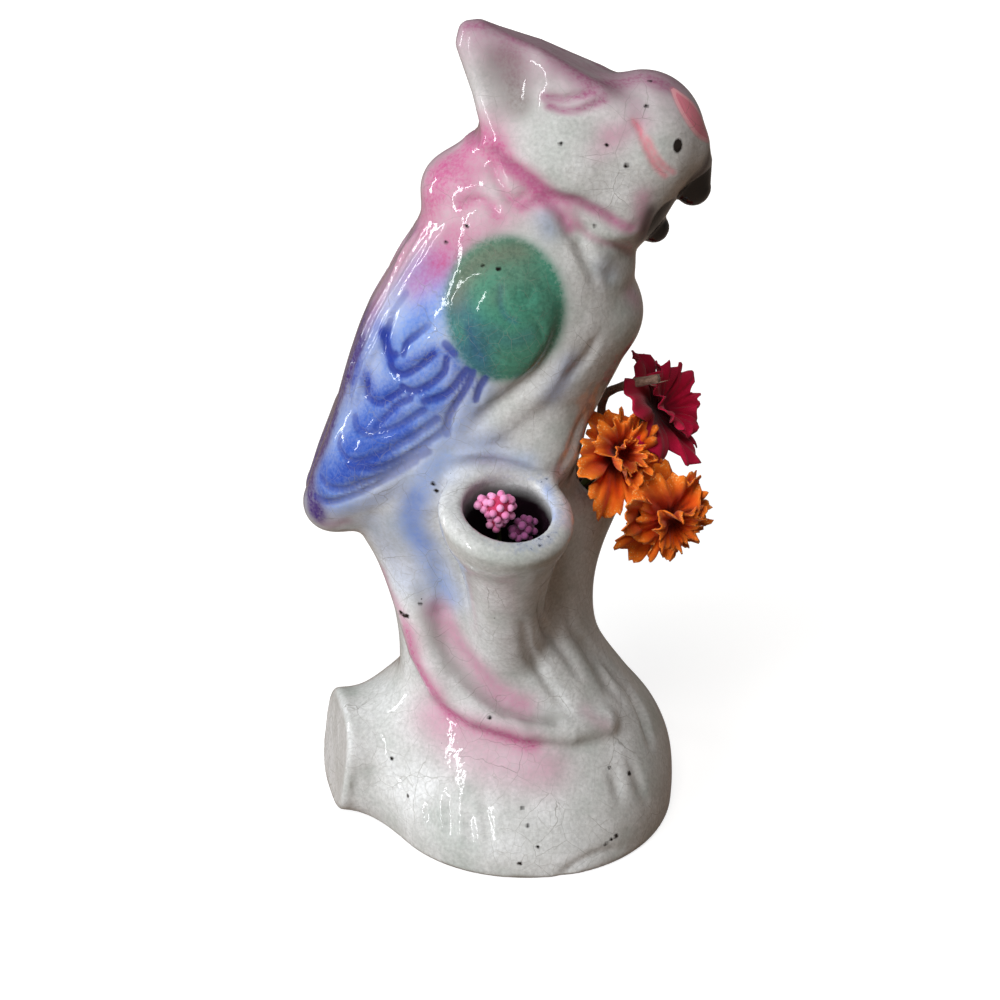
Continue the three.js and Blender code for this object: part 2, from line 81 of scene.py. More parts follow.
# %% [markdown]
# ## Clay as a field
#
# A modelled bird has no flat faces to start from, so the casting is drawn as a field: a number for
# every point in space, negative inside the clay. Simple forms have simple fields, and two forms join
# like soft clay when the smaller of their numbers is taken with a rounded change between them. All
# lengths in this part are millimetres.

# %% Soft joins and cuts
def blend(a, b, soft):
    """The smaller of a and b, with the step between them rounded over the distance soft."""
    h = np.clip(0.5 + 0.5 * (b - a) / soft, 0, 1)
    return b + (a - b) * h - soft * h * (1 - h)


def carve(a, b, soft):
    """a with b taken out, the new edge rounded over the distance soft."""
    return -blend(-a, b, soft)


def rounded(a, b, r):
    """Both limits together, meeting in an edge of radius r."""
    return np.minimum(np.maximum(a, b), -r) + np.hypot(np.maximum(a + r, 0), np.maximum(b + r, 0))


def track(at, value, x):
    """Cubic through the stations (at, value); each slope is that of the parabola through three."""
    at, value = np.asarray(at, float), np.asarray(value, float)
    slope = np.gradient(value, at)
    i = np.clip(np.searchsorted(at, x) - 1, 0, len(at) - 2)
    w = at[i + 1] - at[i]
    t = np.clip((x - at[i]) / w, 0, 1)
    u = 1 - t
    return ((1 + 2 * t) * u * u * value[i] + t * u * u * w * slope[i]
            + t * t * (3 - 2 * t) * value[i + 1] - t * t * u * w * slope[i + 1])


# %% Simple forms
def ball(x, y, z, centre, radii):
    """Distance to an ellipsoid, from its scaled radius q as q(q - 1) over the slope of q."""
    dx, dy, dz = x - centre[0], y - centre[1], z - centre[2]
    q = np.sqrt((dx / radii[0]) ** 2 + (dy / radii[1]) ** 2 + (dz / radii[2]) ** 2)
    g = np.sqrt((dx / radii[0] ** 2) ** 2 + (dy / radii[1] ** 2) ** 2 + (dz / radii[2] ** 2) ** 2)
    return q * (q - 1) / np.maximum(g, 1e-6)


def limb(x, y, z, a, b, ra, rb, flat=1.0):
    """Distance to a round limb from a to b, radius ra to rb, squeezed in y by flat."""
    d = [b[k] - a[k] for k in range(3)]
    px, py, pz = x - a[0], y - a[1], z - a[2]
    t = np.clip((px * d[0] + py * d[1] + pz * d[2]) / (d[0] ** 2 + d[1] ** 2 + d[2] ** 2), 0, 1)
    away = np.sqrt((px - d[0] * t) ** 2 + ((py - d[1] * t) / flat) ** 2 + (pz - d[2] * t) ** 2)
    return away - (ra + (rb - ra) * t)


def rope(x, y, z, path):
    """The nearest of the limbs between neighbouring points (x, y, z, radius) of a path."""
    out = np.full(np.shape(x), 1e9)
    for a, b in zip(path[:-1], path[1:]):
        out = np.minimum(out, limb(x, y, z, a, b, a[3], b[3]))
    return out


def outline(px, pz, corners):
    """Distance to a closed outline in the plane, negative inside by counting the sides crossed."""
    least = np.full(np.shape(px), 1e18)
    sign = np.ones(np.shape(px))
    for a, b in zip(corners, corners[-1:] + corners[:-1]):
        ex, ez = b[0] - a[0], b[1] - a[1]
        wx, wz = px - a[0], pz - a[1]
        t = np.clip((wx * ex + wz * ez) / (ex * ex + ez * ez), 0, 1)
        least = np.minimum(least, (wx - ex * t) ** 2 + (wz - ez * t) ** 2)
        over, under, left = pz >= a[1], pz < b[1], ex * wz > ez * wx
        sign = np.where((over & under & left) | (~over & ~under & ~left), -sign, sign)
    return sign * np.sqrt(least)


# %% [markdown]
# ## The casting's form
#
# The stump and body are one stack of ovals, listed from the foot up as height, rear, front and half
# width. Head, crest, shoulders, tail and the branch stubs are added to it. These are the same
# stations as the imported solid's, so the fine skin lies on the coarse one.

# %% Stump and body
STACK = np.array([
    (-6, -25.2, 35.9, 32.2), (0, -25.4, 36.2, 32.6), (5, -26.2, 36.4, 32.4), (11, -26.2, 35.8, 30.0),
    (18, -23.4, 33.0, 25.0), (26, -21.3, 27.2, 19.8), (36, -20.8, 20.8, 15.5), (46, -22.2, 17.8, 13.0),
    (54, -24.6, 17.0, 12.5), (62, -28.5, 16.0, 13.2), (70, -33.0, 15.5, 14.2), (76, -34.6, 15.5, 15.0),
    (84, -33.3, 17.0, 16.0), (92, -31.2, 20.4, 17.0), (100, -28.8, 24.0, 17.6),
    (108, -25.8, 26.0, 17.6), (116, -21.2, 25.0, 16.6), (124, -16.6, 23.8, 15.2),
    (131, -13.4, 20.0, 13.2), (137, -10.5, 13.0, 10.5), (142, -6.5, 7.0, 7.0)])
OVAL_POWER = 2.1
FOOT_SWAY = -2.5
SWAY_HEIGHT = 40


def stack(x, y, z):
    """Ovals of power 2.1 up the height: the scaled radius less one, times the smaller half axis."""
    at, rear, front, half = STACK.T
    rear, front, half = track(at, rear, z), track(at, front, z), track(at, half, z)
    r, m = (front - rear) / 2, (front + rear) / 2
    q = (np.abs((x - m) / r) ** OVAL_POWER + np.abs(y / half) ** OVAL_POWER) ** (1 / OVAL_POWER)
    return np.maximum((q - 1) * np.minimum(r, half) * 0.92, z - at[-1])


print("stack of", len(STACK), "ovals")

# %% Branch stubs
CUP = dict(top=(1.4, -23.0, 77.0), axis=(0, -0.34, 0.94), rim=(0.15, -0.31, 0.94),
           at=(-6, 0, 4, 10, 20, 30, 44), radius=(12.4, 12.4, 11.9, 9.8, 7.6, 6.6, 6.2),
           deep=44, lip=1.8, section=2)
STUB = dict(top=(16.2, 7.0, 69.0), axis=(0.28, 0.04, 0.95), rim=(0.28, 0.04, 0.95),
            at=(-4, 0, 6, 16, 28, 44), radius=(9.8, 9.8, 9.2, 8.6, 9.6, 11.5),
            deep=44, lip=1.6, section=2)
ROOT = dict(top=(-34.6, -4.5, 11.2), axis=(-0.955, -0.25, 0.14), rim=(-0.955, -0.25, 0.14),
            at=(-3, 0, 6, 14, 26), radius=(11.5, 11.5, 12.0, 14.8, 18.0),
            deep=26, lip=1.3, section=3)
CUP_BORE = dict(at=(-20, -12, -4, 8), radius=(4.6, 6.4, 8.3, 8.7), deep=20)
STUB_BORE = dict(at=(-22, -5.5, 5.5), radius=(5.4, 6.6, 7.0), deep=22)


def unit(v):
    """v at length one."""
    return np.asarray(v, float) / np.linalg.norm(v)


def branch(spec, x, y, z):
    """A turned body on its axis, radius by depth below the rim, cut by the rim's plane."""
    axis, rim = unit(spec["axis"]), unit(spec["rim"])
    across = unit((axis[1], -axis[0], 0))
    px, py, pz = (v - c for v, c in zip((x, y, z), spec["top"]))
    s = px * axis[0] + py * axis[1] + pz * axis[2]
    u = px * across[0] + py * across[1]
    v = np.sqrt(np.maximum(px ** 2 + py ** 2 + pz ** 2 - s * s - u * u, 0))
    r = (np.abs(u) ** spec["section"] + v ** spec["section"]) ** (1 / spec["section"])
    mouth = px * rim[0] + py * rim[1] + pz * rim[2]
    side = (r - track(spec["at"], spec["radius"], -s)) * 0.94
    return np.maximum(rounded(side, mouth, spec["lip"]), -s - spec["deep"])


def along_and_out(spec, x, y, z):
    """Height above a stub's rim along its axis, and distance out from that axis."""
    axis = unit(spec["axis"])
    p = [v - c for v, c in zip((x, y, z), spec["top"])]
    s = sum(v * a for v, a in zip(p, axis))
    return s, np.sqrt(np.maximum(sum(v * v for v in p) - s * s, 0))


def bore(spec, hole, x, y, z):
    """The open hole in a stub: a turned taper with a rounded floor."""
    s, out = along_and_out(spec, x, y, z)
    return rounded(out - np.interp(s, hole["at"], hole["radius"]), -hole["deep"] - s, 1.5)


# %% Rolled root, valley and crest
ROLL = [(-18.5, -1.5, 60.0, 6.2), (-16.2, -6.0, 48.0, 5.2), (-14.4, -9.4, 38.8, 4.2),
        (-11.2, -13.4, 32.6, 3.6), (-4.2, -17.6, 28.8, 3.2), (5.0, -19.6, 26.4, 3.0),
        (14.0, -18.6, 24.6, 2.8), (21.0, -14.4, 23.8, 3.0)]
VALLEY = [(-13.0, -16.5, 70.0, 2.4), (-12.0, -14.5, 58.0, 2.6), (-11.4, -13.0, 48.0, 2.4),
          (-9.4, -15.0, 40.6, 2.2), (-5.2, -18.0, 35.4, 2.0), (1.5, -20.0, 31.0, 1.8),
          (11.0, -19.5, 28.6, 1.6)]
CREST = [(-5.4, 161.8), (-5.8, 160.0), (-2.9, 152.1), (-1.0, 144.6), (6, 138), (20, 142), (22.5, 149),
         (18.3, 151.7), (12.5, 154.6), (6.7, 157.6), (-0.8, 160.5), (-3.9, 161.9)]
CREST_EDGE = 2.2        # how far the rounded clay stands out past those corners
CREST_TIP = (-7.2, 163.2)
CREST_THIN, CREST_THICK, CREST_RUN = 3, 9, 20


def crest(x, y, z):
    """The crest's side outline, as thick as its distance from the tip makes it."""
    run = np.clip(((x - CREST_TIP[0]) * 0.55 + (CREST_TIP[1] - z) * 0.83) / CREST_RUN, 0, 1.1)
    thick = CREST_THIN + (CREST_THICK - CREST_THIN) * run
    return rounded((outline(x, z, CREST) - CREST_EDGE) * 0.95, (np.abs(y) - thick) * 0.9, 2.8)


# %% The whole skin
FOOT_EDGE = 1.0


def skin(x, y, z):
    """Every form of the casting joined in turn, each with the softness of its own edge."""
    side = np.abs(y)
    sway = FOOT_SWAY * (1 - np.clip(z / SWAY_HEIGHT, 0, 1)) ** 2
    cup = branch(CUP, x, y, z)
    f = stack(x, y - sway, z)
    f = blend(f, branch(STUB, x, y, z), 4)
    f = blend(f, branch(ROOT, x, y, z), 8)
    f = blend(f, cup, 2.6)
    f = blend(f, limb(x, side, z, (1, 12, 108), (-26.5, 8.5, 76), 10.5, 6, 0.72), 1.6)
    f = blend(f, ball(x, y, z, (12, 0, 138.5), (16.5, 12.8, 13.6)), 3)
    f = blend(f, ball(x, y, z, (26.2, 0, 142), (11.6, 10.8, 12.7)), 4)
    f = blend(f, ball(x, y, z, (20, 0, 130.5), (11.5, 10.5, 9.5)), 4)
    f = blend(f, rope(x, y, z, ROLL), 1.6)
    f = carve(f, rope(x, y, z, VALLEY), 1.6)
    f = blend(f, cup, 2.6)
    f = blend(f, ball(x, y, z, (-7.4, 0, 133), (7.2, 8.5, 6.4)), 3)
    f = blend(f, limb(x, side, z, (-25, 7, 82), (-33, 3.5, 68.8), 8, 6), 4)
    f = blend(f, ball(x, side, z, (1.6, 12.6, 111), (11.2, 7.6, 12.2)), 0.8)
    f = blend(f, ball(x, y, z, (18.6, 0, 108), (8.4, 10, 8.5)), 2.5)
    f = blend(f, ball(x, y, z, (18.6, 0, 118), (6.6, 9.5, 6)), 2)
    f = blend(f, ball(x, side, z, (6.5, 8, 85), (9, 8, 11)), 3)
    f = blend(f, ball(x, y, z, (34, 0, 140.2), (4.6, 5, 4.6)), 2)
    f = blend(f, crest(x, y, z), 3)
    f = carve(f, ball(x, side, z, (1.5, 9.6, 157), (6, 5.2, 8.5)), 2.5)
    f = blend(f, limb(x, y, z, (34.8, 0, 137), (35.9, 0, 132.6), 4.6, 3.4, 0.85), 1)
    f = blend(f, limb(x, y, z, (27.4, 0, 126.6), (28.9, 0, 124.8), 3.6, 2.9, 0.9), 0.8)
    return rounded(f, -z, FOOT_EDGE)


def casting(x, y, z):
    """The skin with both holes taken out, their lips rounded by the glaze."""
    f = carve(skin(x, y, z), bore(CUP, CUP_BORE, x, y, z), 1.3)
    return carve(f, bore(STUB, STUB_BORE, x, y, z), 1.1)


print("crest tip at", CREST_TIP, "mm")

# %% [markdown]
# ## From field to mesh
#
# A surface net puts one vertex into every grid cell that the surface crosses and one four-sided face
# round every grid edge that it crosses. That gives even, closed faces without poles, which is what a
# poured and glazed form looks like. Newton steps then slide each vertex onto the surface itself.

# %% Surface net
def by_parts(field, p, size=40000):
    """The field at many points, a part at a time so that each part stays in fast memory."""
    return np.concatenate([field(*p[i:i + size].T) for i in range(0, len(p), size)])


def surface_net(field, low, high, cell):
    """Vertices and quads of the surface where the field changes sign on a grid of that cell size."""
    n = np.ceil((np.asarray(high) - low) / cell).astype(int) + 1
    ys, zs = (low[k] + np.arange(n[k]) * cell for k in (1, 2))
    yy, zz = np.meshgrid(ys, zs, indexing="ij")
    value = np.stack([field(np.full(yy.shape, low[0] + i * cell), yy, zz) for i in range(n[0])])
    inside = value < 0
    corners = [(i, j, k) for i in (0, 1) for j in (0, 1) for k in (0, 1)]
    count = sum(inside[i:n[0] - 1 + i, j:n[1] - 1 + j, k:n[2] - 1 + k].astype(np.int8)
                for i, j, k in corners)
    mixed = (count > 0) & (count < 8)
    cells = np.argwhere(mixed)
    owner = np.full(mixed.shape, -1)
    owner[mixed] = np.arange(len(cells))
    total, crossings = np.zeros((len(cells), 3)), np.zeros(len(cells))
    for a in corners:
        for axis in range(3):
            if a[axis]:
                continue
            step = np.eye(3, dtype=int)[axis]
            va = value[tuple((cells + a).T)]
            vb = value[tuple((cells + a + step).T)]
            hit = (va < 0) != (vb < 0)
            t = va[hit] / (va[hit] - vb[hit])
            total[hit] += cells[hit] + a + t[:, None] * step
            crossings[hit] += 1
    points = low + total / crossings[:, None] * cell
    quads = []
    for axis in range(3):
        u, v = (np.eye(3, dtype=int)[(axis + k) % 3] for k in (1, 2))
        first = [slice(1, m - 1) for m in n]
        second = list(first)
        first[axis], second[axis] = slice(0, n[axis] - 1), slice(1, n[axis])
        near, far = inside[tuple(first)], inside[tuple(second)]
        edges = np.argwhere(near != far)
        base = edges + (np.ones(3, dtype=int) - np.eye(3, dtype=int)[axis])
        ring = [owner[tuple((base - d).T)] for d in (u + v, v, 0 * u, u)]
        quad = np.stack(ring, 1)
        out = near[tuple(edges.T)]
        quads.append(np.where(out[:, None], quad, quad[:, ::-1]))
    return points, np.concatenate(quads)


def slope(field, p, h=0.05):
    """The field's gradient by central differences over 2h."""
    parts = []
    for k in range(3):
        d = np.eye(3)[k] * h
        parts.append((by_parts(field, p + d) - by_parts(field, p - d)) / (2 * h))
    return np.stack(parts, 1)


def settle(field, p, steps, limit):
    """Newton steps onto the surface, each at most limit long."""
    for _ in range(steps):
        g = slope(field, p)
        move = -(by_parts(field, p) / np.maximum((g ** 2).sum(1), 0.05))[:, None] * g
        length = np.linalg.norm(move, axis=1)
        p = p + move * np.minimum(1, limit / np.maximum(length, 1e-9))[:, None]
    return p


CELL = 0.68
low, high = (np.array(c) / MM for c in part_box("figurine"))
clay, clay_faces = surface_net(casting, low - 2.2, high + 2.2, CELL)
clay = settle(casting, clay, 3, CELL / 2)
out = slope(casting, clay)
out /= np.linalg.norm(out, axis=1)[:, None]
print("casting:", len(clay), "vertices,", 2 * len(clay_faces), "triangles")

# %% [markdown]
# ## Feathers, bark and folds
#
# The modeller drew the feathers into the clay with a round tool, so each is a soft groove with a
# little raised clay beside it. The lines are given as a side view, x and z, and are laid on the skin
# from the side. The bird is the same on both sides of its own plane; the stump isn't.

# %% Lay a drawn line on the skin
def smooth_line(points, spacing=0.8):
    """A cubic through the drawn points, with a point at about each spacing."""
    points = np.asarray(points, float)
    at = np.concatenate([[0], np.cumsum(np.linalg.norm(np.diff(points, axis=0), axis=1))])
    run = np.linspace(0, at[-1], max(int(at[-1] / spacing), 3))
    return np.stack([track(at, points[:, k], run) for k in range(points.shape[1])], 1)


def seat(lines, side=-1):
    """Lines of (x, z) moved along y from that side until they meet the skin, then settled on it."""
    runs = [smooth_line(points) for points in lines]
    line = np.concatenate(runs)
    p = np.stack([line[:, 0], np.full(len(line), side * 45.0), line[:, 1]], 1)
    best, least = p.copy(), np.full(len(p), 1e9)
    for _ in range(60):
        f = skin(*p.T)
        closer = f < least
        best[closer], least[closer] = p[closer], f[closer]
        p[:, 1] -= side * np.where(least < 0.02, 0, np.maximum(f, 0.02) * 0.8)
    return np.split(settle(skin, best, 5, 2.0), np.cumsum([len(run) for run in runs])[:-1])


def trail(p, path, reach):
    """Distance from each point to a path, and how far along it, 0 to 1; 1e3 beyond the reach."""
    away, along = np.full(len(p), 1e3), np.zeros(len(p))
    near = np.all((p > path.min(0) - reach) & (p < path.max(0) + reach), axis=1)
    q, d, t_best = p[near], away[near], along[near]
    for i, (a, b) in enumerate(zip(path[:-1], path[1:])):
        e = b - a
        t = np.clip(((q - a) @ e) / max(e @ e, 1e-9), 0, 1)
        here = np.linalg.norm(q - a - t[:, None] * e, axis=1)
        closer = here < d
        d[closer], t_best[closer] = here[closer], (i + t[closer]) / (len(path) - 1)
    away[near], along[near] = d, t_best
    return away, along


# %% The bird's lines
FEATHERS = [
    [(-17.4, 115.4), (-19.6, 112.2), (-20.9, 108.8), (-21.6, 105.5), (-20.9, 103.7), (-19.4, 104.5)],
    [(-12.4, 105.8), (-14.1, 103.9), (-16.3, 102), (-18.4, 100.8), (-19.9, 101.1), (-20.5, 102.2)],
    [(-9.9, 105.3), (-10.4, 102.7), (-12.1, 100.7), (-14.2, 99), (-16.5, 97.9), (-18.4, 98.6)],
    [(-6.2, 103.6), (-7.7, 101.3), (-10, 98.3), (-12.3, 97), (-14.2, 96.4)],
    [(-5, 103.3), (-5.8, 100.9), (-7.1, 98.3), (-8.6, 95.6), (-9.7, 93.1), (-10, 89.7)],
    [(-2.7, 102), (-3.8, 99.8), (-4.5, 97.1)],
    [(-13.2, 111), (-15.8, 108.6), (-17.7, 106.6), (-18.1, 104.8)],
    [(-14.3, 94.7), (-16.8, 92.5), (-19.4, 90.5), (-22.9, 88.8), (-25.7, 88.3), (-27.5, 89.1),
     (-27.7, 90.5)],
    [(-11.8, 93), (-16, 89.1), (-19.5, 86.5), (-22.9, 84.7), (-26.4, 83.3), (-29.4, 83.1),
     (-31, 85), (-30.6, 86.6)],
    [(-10.5, 90.6), (-14.4, 87), (-18.7, 83.8), (-23, 81.9), (-26, 81.7), (-29, 81.8)],
    [(-13.6, 85.6), (-18.8, 82.1), (-22.2, 80.4), (-26.1, 78.5), (-30.6, 76.1), (-33.3, 75.9),
     (-34.7, 77.1)],
    [(-16.2, 83.2), (-20.9, 79.7), (-25.3, 76.8), (-29.8, 74.2), (-33.9, 72.2), (-36.2, 72.5)],
    [(-16.8, 96.5), (-19.4, 94.7), (-21.6, 92), (-23.8, 89.5)],
    [(-25, 97.5), (-25.2, 94.9), (-23, 94), (-21.1, 95.6), (-18.4, 97.9)],
]
SHAFTS = [
    [(-15.9, 124.7), (-18.5, 120.2), (-20.8, 115.2), (-24.5, 108.6), (-26.8, 103), (-29.1, 96.4),
     (-30.1, 92)],
    [(-14.1, 124.2), (-17, 119.3), (-19.6, 114.9), (-22.7, 109.6), (-24.9, 104.2), (-26.8, 100.2),
     (-28.4, 94.6)],
    [(-16.6, 116.7), (-19.6, 112.5), (-21.8, 108.5), (-22.9, 105.1), (-25.4, 100.9), (-26.3, 97.3),
     (-28.2, 91)],
]
HOOD = [(-0.6, 142.4), (1.3, 140.4), (3.9, 138.9), (5.7, 137.5), (7.9, 135.7), (11.3, 134.5),
        (13.9, 134), (16.2, 132.7), (19.2, 131), (21.6, 129.2), (23.9, 128.1)]
CURLS = [
    [(3.9, 120.2), (3, 118.6), (4.1, 117.2), (5.6, 117.6), (6, 119.2)],
    [(0, 123.3), (2.1, 122), (3, 121.1)],
    [(5.5, 114.6), (7.3, 112.5), (7.9, 109.8)],
    [(-2.5, 110.5), (-1.5, 107.5), (1, 105.5)],
]
QUILLS = [
    [(-13.2, 128.3), (-15.8, 123.1), (-18.7, 118.1), (-21.1, 113)],
    [(-11, 127), (-14, 122.3), (-16.7, 118), (-18.6, 114.5)],
    [(-22.8, 107.4), (-24.4, 102.4), (-26.3, 97.2), (-28, 92.4)],
    [(-9.1, 129.2), (-12.3, 123.9), (-14.8, 119.7)],
]
CHEEK = [(24.0, 148.2), (25.0, 147), (25.6, 145), (26.6, 142.8), (28.2, 140), (30, 138)]
CHEEK_FRONT = [(26.6, 145.2), (27.8, 142.8), (29.6, 140.2), (31.6, 138.4)]
BROW = [(31.5, 152.2), (33.2, 150.3), (34.8, 148.3), (36.4, 145.8), (38.3, 142.5)]
FOLDS = {
    "fold1": [(7.9, 152.3), (10.8, 152.1), (13.7, 152.6), (16.6, 153.5)],
    "fold2": [(8.7, 150.8), (11.5, 150.2), (14.5, 150.5), (17, 151.4), (18.6, 152.1)],
    "neck2": [(14.4, 129.3), (16.7, 127), (19.4, 125.5), (22.2, 124.1), (24.7, 121.3)],
    "neck3": [(14, 127.2), (15.6, 124.4), (17.5, 122), (19.9, 119.5), (21.9, 118.1)],
    "neck4": [(-1.7, 140.7), (-0.6, 138.1), (1.3, 135.1), (2.4, 134), (4.2, 134.9), (5.7, 136.1)],
    "neck5": [(3.9, 133.1), (5, 133.5), (7.6, 134.2), (9.5, 133.2), (11.4, 131), (12.7, 129.1)],
    "neck6": [(-7, 132.7), (-5.5, 133.6), (-3.2, 133.9), (-1.3, 133), (-0.6, 132)],
    "neck7": [(11, 129.3), (14, 126.8), (15.2, 124.1), (16.4, 121.3), (18, 117.8)],
    "s1": [(0.2, 119.8), (-0.1, 118), (0.3, 116.1), (1.4, 114.5), (2.8, 113.9)],
    "s2": [(-5.8, 111.7), (-5.3, 109.6), (-4.3, 107.5), (-3.3, 106.2)],
    "f1": [(11.2, 113.5), (10, 108.2), (6.6, 102.4), (2.5, 98.5), (-1.7, 94.8), (-5.9, 90)],
    "f2": [(12.6, 108.4), (11, 102.1), (7.1, 96.8), (2.5, 92.8), (-3.4, 87.7)],
    "f3": [(18.2, 108.1), (16.6, 104.8), (14.5, 102.4), (12.1, 100)],
    "f4": [(16.6, 90.6), (14.9, 88), (13.6, 84.6), (11.5, 80.9)],
    "belly": [(-9.4, 84.5), (-6, 85.5), (-1.7, 85.4), (2.5, 84.6), (6.3, 83.3), (9.8, 80.8)],
}
print("bird:", len(FEATHERS) + len(SHAFTS) + len(FOLDS) + 3, "lines")

# %% The stump's lines
BARK = [
    [(8.5, 60.8), (8.1, 51.5), (9.4, 43.9), (12.9, 38.7), (15.8, 33.9)],
    [(4.7, 52), (6, 40.9), (8.8, 34.9), (11.7, 30.9), (13.3, 28.3)],
    [(16.2, 41.1), (19.8, 34.3), (22.7, 28.8), (25, 25.7)],
    [(27.1, 25.4), (29.9, 20.7), (30.8, 17.1)],
    [(13, 51.1), (14.5, 43.2), (18.3, 35.9), (21.6, 29.1)],
    [(17.3, 39), (23, 30.8), (28.1, 23.8), (30.9, 18.3)],
]
FLUTES = [
    [(-29.3, 12.8), (-30.1, 4.4)], [(-26, 15.3), (-26.9, 5.6)], [(-19.7, 15.2), (-20, 7.1)],
    [(-14.5, 13.3), (-14.1, 5.8)], [(-10.4, 14.7), (-9.6, 6.8)], [(-6.4, 13.2), (-5.6, 5.5)],
    [(-3.4, 15.1), (-2, 6)], [(22.6, 17.1), (24.2, 12)], [(26.4, 17.3), (29.5, 9.6)],
]
FAR_BARK = [
    [(-14, 58), (-15, 44), (-17, 33), (-20, 25)], [(-6, 60), (-7, 46), (-9, 34), (-13, 24)],
    [(3, 56), (3, 44), (2, 33), (-1, 22)], [(10, 46), (12, 36), (15, 28), (19, 20)],
    [(8, 40), (9, 30), (11, 22), (13, 15)], [(-22, 20), (-23, 9)], [(-9, 18), (-9, 7)],
    [(3, 17), (4, 6)], [(17, 18), (20, 7)], [(25, 20), (29, 9)],
]
BASE_FOLD = [(12, 0.5), (16, 2.9), (20.5, 3.8), (24.2, 2.7)]
print("stump:", len(BARK) + len(FLUTES) + len(FAR_BARK) + 1, "lines")

# %% Press the lines into the clay
near_side = np.abs(clay) * [0, -1, 0] + clay * [1, 0, 1]    # both sides of the bird read the near one
groove = np.zeros(len(clay))


def press(lines, depth, width, p, side=-1, shoulder=0.0, ends=0.15):
    """Grooves of Gaussian section, -depth exp(-(d / width)^2), with raised shoulders, that run out.

    Gives back the lines as they lie on the skin.
    """
    paths = seat(lines, side)
    for path in paths:
        away, along = trail(p, path, 4 * width)
        fade = np.clip(np.minimum(along, 1 - along) / ends, 0, 1)
        fade = 0.35 + 0.65 * fade * fade * (3 - 2 * fade)
        q = (away / width) ** 2
        groove[:] -= depth * fade * (1 - shoulder * q) * np.exp(-np.minimum(q, 50))
    return paths


feather_paths = press(FEATHERS, 0.85, 0.85, near_side, shoulder=0.55)
press(SHAFTS, -0.75, 0.85, near_side, shoulder=0.45)
press(CURLS, 0.5, 0.75, near_side, shoulder=0.7)
press(QUILLS, -0.45, 0.75, near_side, shoulder=0.5)
press([HOOD], 1.2, 1.4, near_side, shoulder=0.5)
press([CHEEK, CHEEK_FRONT], 0.5, 0.75, near_side, shoulder=0.7)
for depth, width, names in (
        (0.75, 0.9, ("fold1", "fold2")), (0.95, 1.1, ("neck2", "neck5")), (0.8, 1.3, ("neck3",)),
        (0.9, 1.0, ("neck4", "neck6")), (0.9, 1.5, ("neck7",)), (0.5, 0.75, ("s1", "s2")),
        (0.95, 1.8, ("f1",)), (-0.45, 2.2, ("f2",)), (0.7, 1.6, ("f3", "f4")), (-0.7, 1.3, ("belly",))):
    press([FOLDS[name] for name in names], depth, width, near_side, shoulder=0.35)
press(BARK, 1.0, 1.3, clay, shoulder=0.45, ends=0.3)
press(FLUTES, 0.7, 1.6, clay, shoulder=0.4, ends=0.4)
press(FAR_BARK, 0.9, 1.4, clay, side=1, shoulder=0.45, ends=0.3)
press([[(x, z) for x, _, z, _ in VALLEY[1:]]], 0.9, 2.2, clay, shoulder=0.1, ends=0.3)
press([[(x, z) for x, _, z, _ in ROLL[1:]]], -0.6, 1.8, clay, shoulder=0.1, ends=0.3)
press([BASE_FOLD], 0.7, 1.2, clay, shoulder=0.6)
print("deepest groove", round(float(-groove.min()), 2), "mm, highest ridge", round(float(groove.max()), 2))

# %% Broad swellings of the modelling
def lobe(centre, radii, height, mirrored=True):
    """A soft pad of clay: height exp(-q^2) over an ellipsoid of those radii."""
    p = near_side if mirrored else clay
    q = (((p - centre) / radii) ** 2).sum(1)
    groove[:] += height * np.exp(-np.minimum(q, 50))


lobe((20.5, -10.5, 126.8), (4.6, 4, 1.9), 0.7)      # lappets of the neck below the hood
lobe((18.6, -12, 121.6), (3.6, 4, 3.2), 0.8)
lobe((6.6, -12.4, 131), (3.8, 4, 2.6), 0.6)
lobe((1, -12.4, 137.4), (2.0, 4, 2.6), 0.5)
lobe((-8.5, -9, 128.5), (3.2, 5, 3.4), 0.5)
lobe((5.2, -17.8, 118.6), (1.1, 2, 1.2), -0.45)     # ring mark in the shoulder
lobe((14.6, -10.6, 147.2), (5.5, 5, 3.2), 0.5)
lobe((8.5, -8.5, 145.4), (1.6, 3, 5), -0.35)
lobe((-17.3, -15.6, 69), (3.0, 4, 8), -0.5, False)
print("swelled and sunk between", groove.min().round(2), "and", groove.max().round(2), "mm")

# %% Move the clay
a, b, c, d = clay_faces.T
for _ in range(2):                                  # the glaze fills the sharpest marks
    total, uses = np.zeros(len(clay)), np.zeros(len(clay))
    for p, q in ((a, b), (b, c), (c, d), (d, a)):
        total += np.bincount(p, groove[q], len(clay)) + np.bincount(q, groove[p], len(clay))
        uses += np.bincount(p, minlength=len(clay)) + np.bincount(q, minlength=len(clay))
    groove += 0.35 * (total / uses - groove)
LEFT_OPEN = 0.84        # share of each mark's depth that the glaze leaves
groove *= LEFT_OPEN
formed = clay + out * groove[:, None]
formed[:, 2] = np.maximum(formed[:, 2], 0)
print("form box", formed.min(0).round(1), formed.max(0).round(1), "mm")

# %% [markdown]
# ## The airbrush
#
# The colours are sprayed on the raw clay before the glaze: a soft round spot carried along a path.
# Each stroke is therefore a path on the skin with a radius, and its strength falls as the square of
# the distance over the radius in a bell. The strokes are kept as attributes of the mesh, and the
# glaze material mixes the colours and breaks them up with the grain of the spray.

# %% Spray strokes
def spray(strokes, side=-1, mirrored=True):
    """The strokes over each other at each vertex: each exp(-(d / radius)^2) from its path."""
    p = near_side if mirrored else clay
    bare = np.ones(len(p))
    for path, (_, radius, strength) in zip(seat([points for points, _, _ in strokes], side), strokes):
        away, _ = trail(p, path, 3 * radius)
        bare *= 1 - strength * np.exp(-np.minimum((away / radius) ** 2, 50))
    return 1 - bare


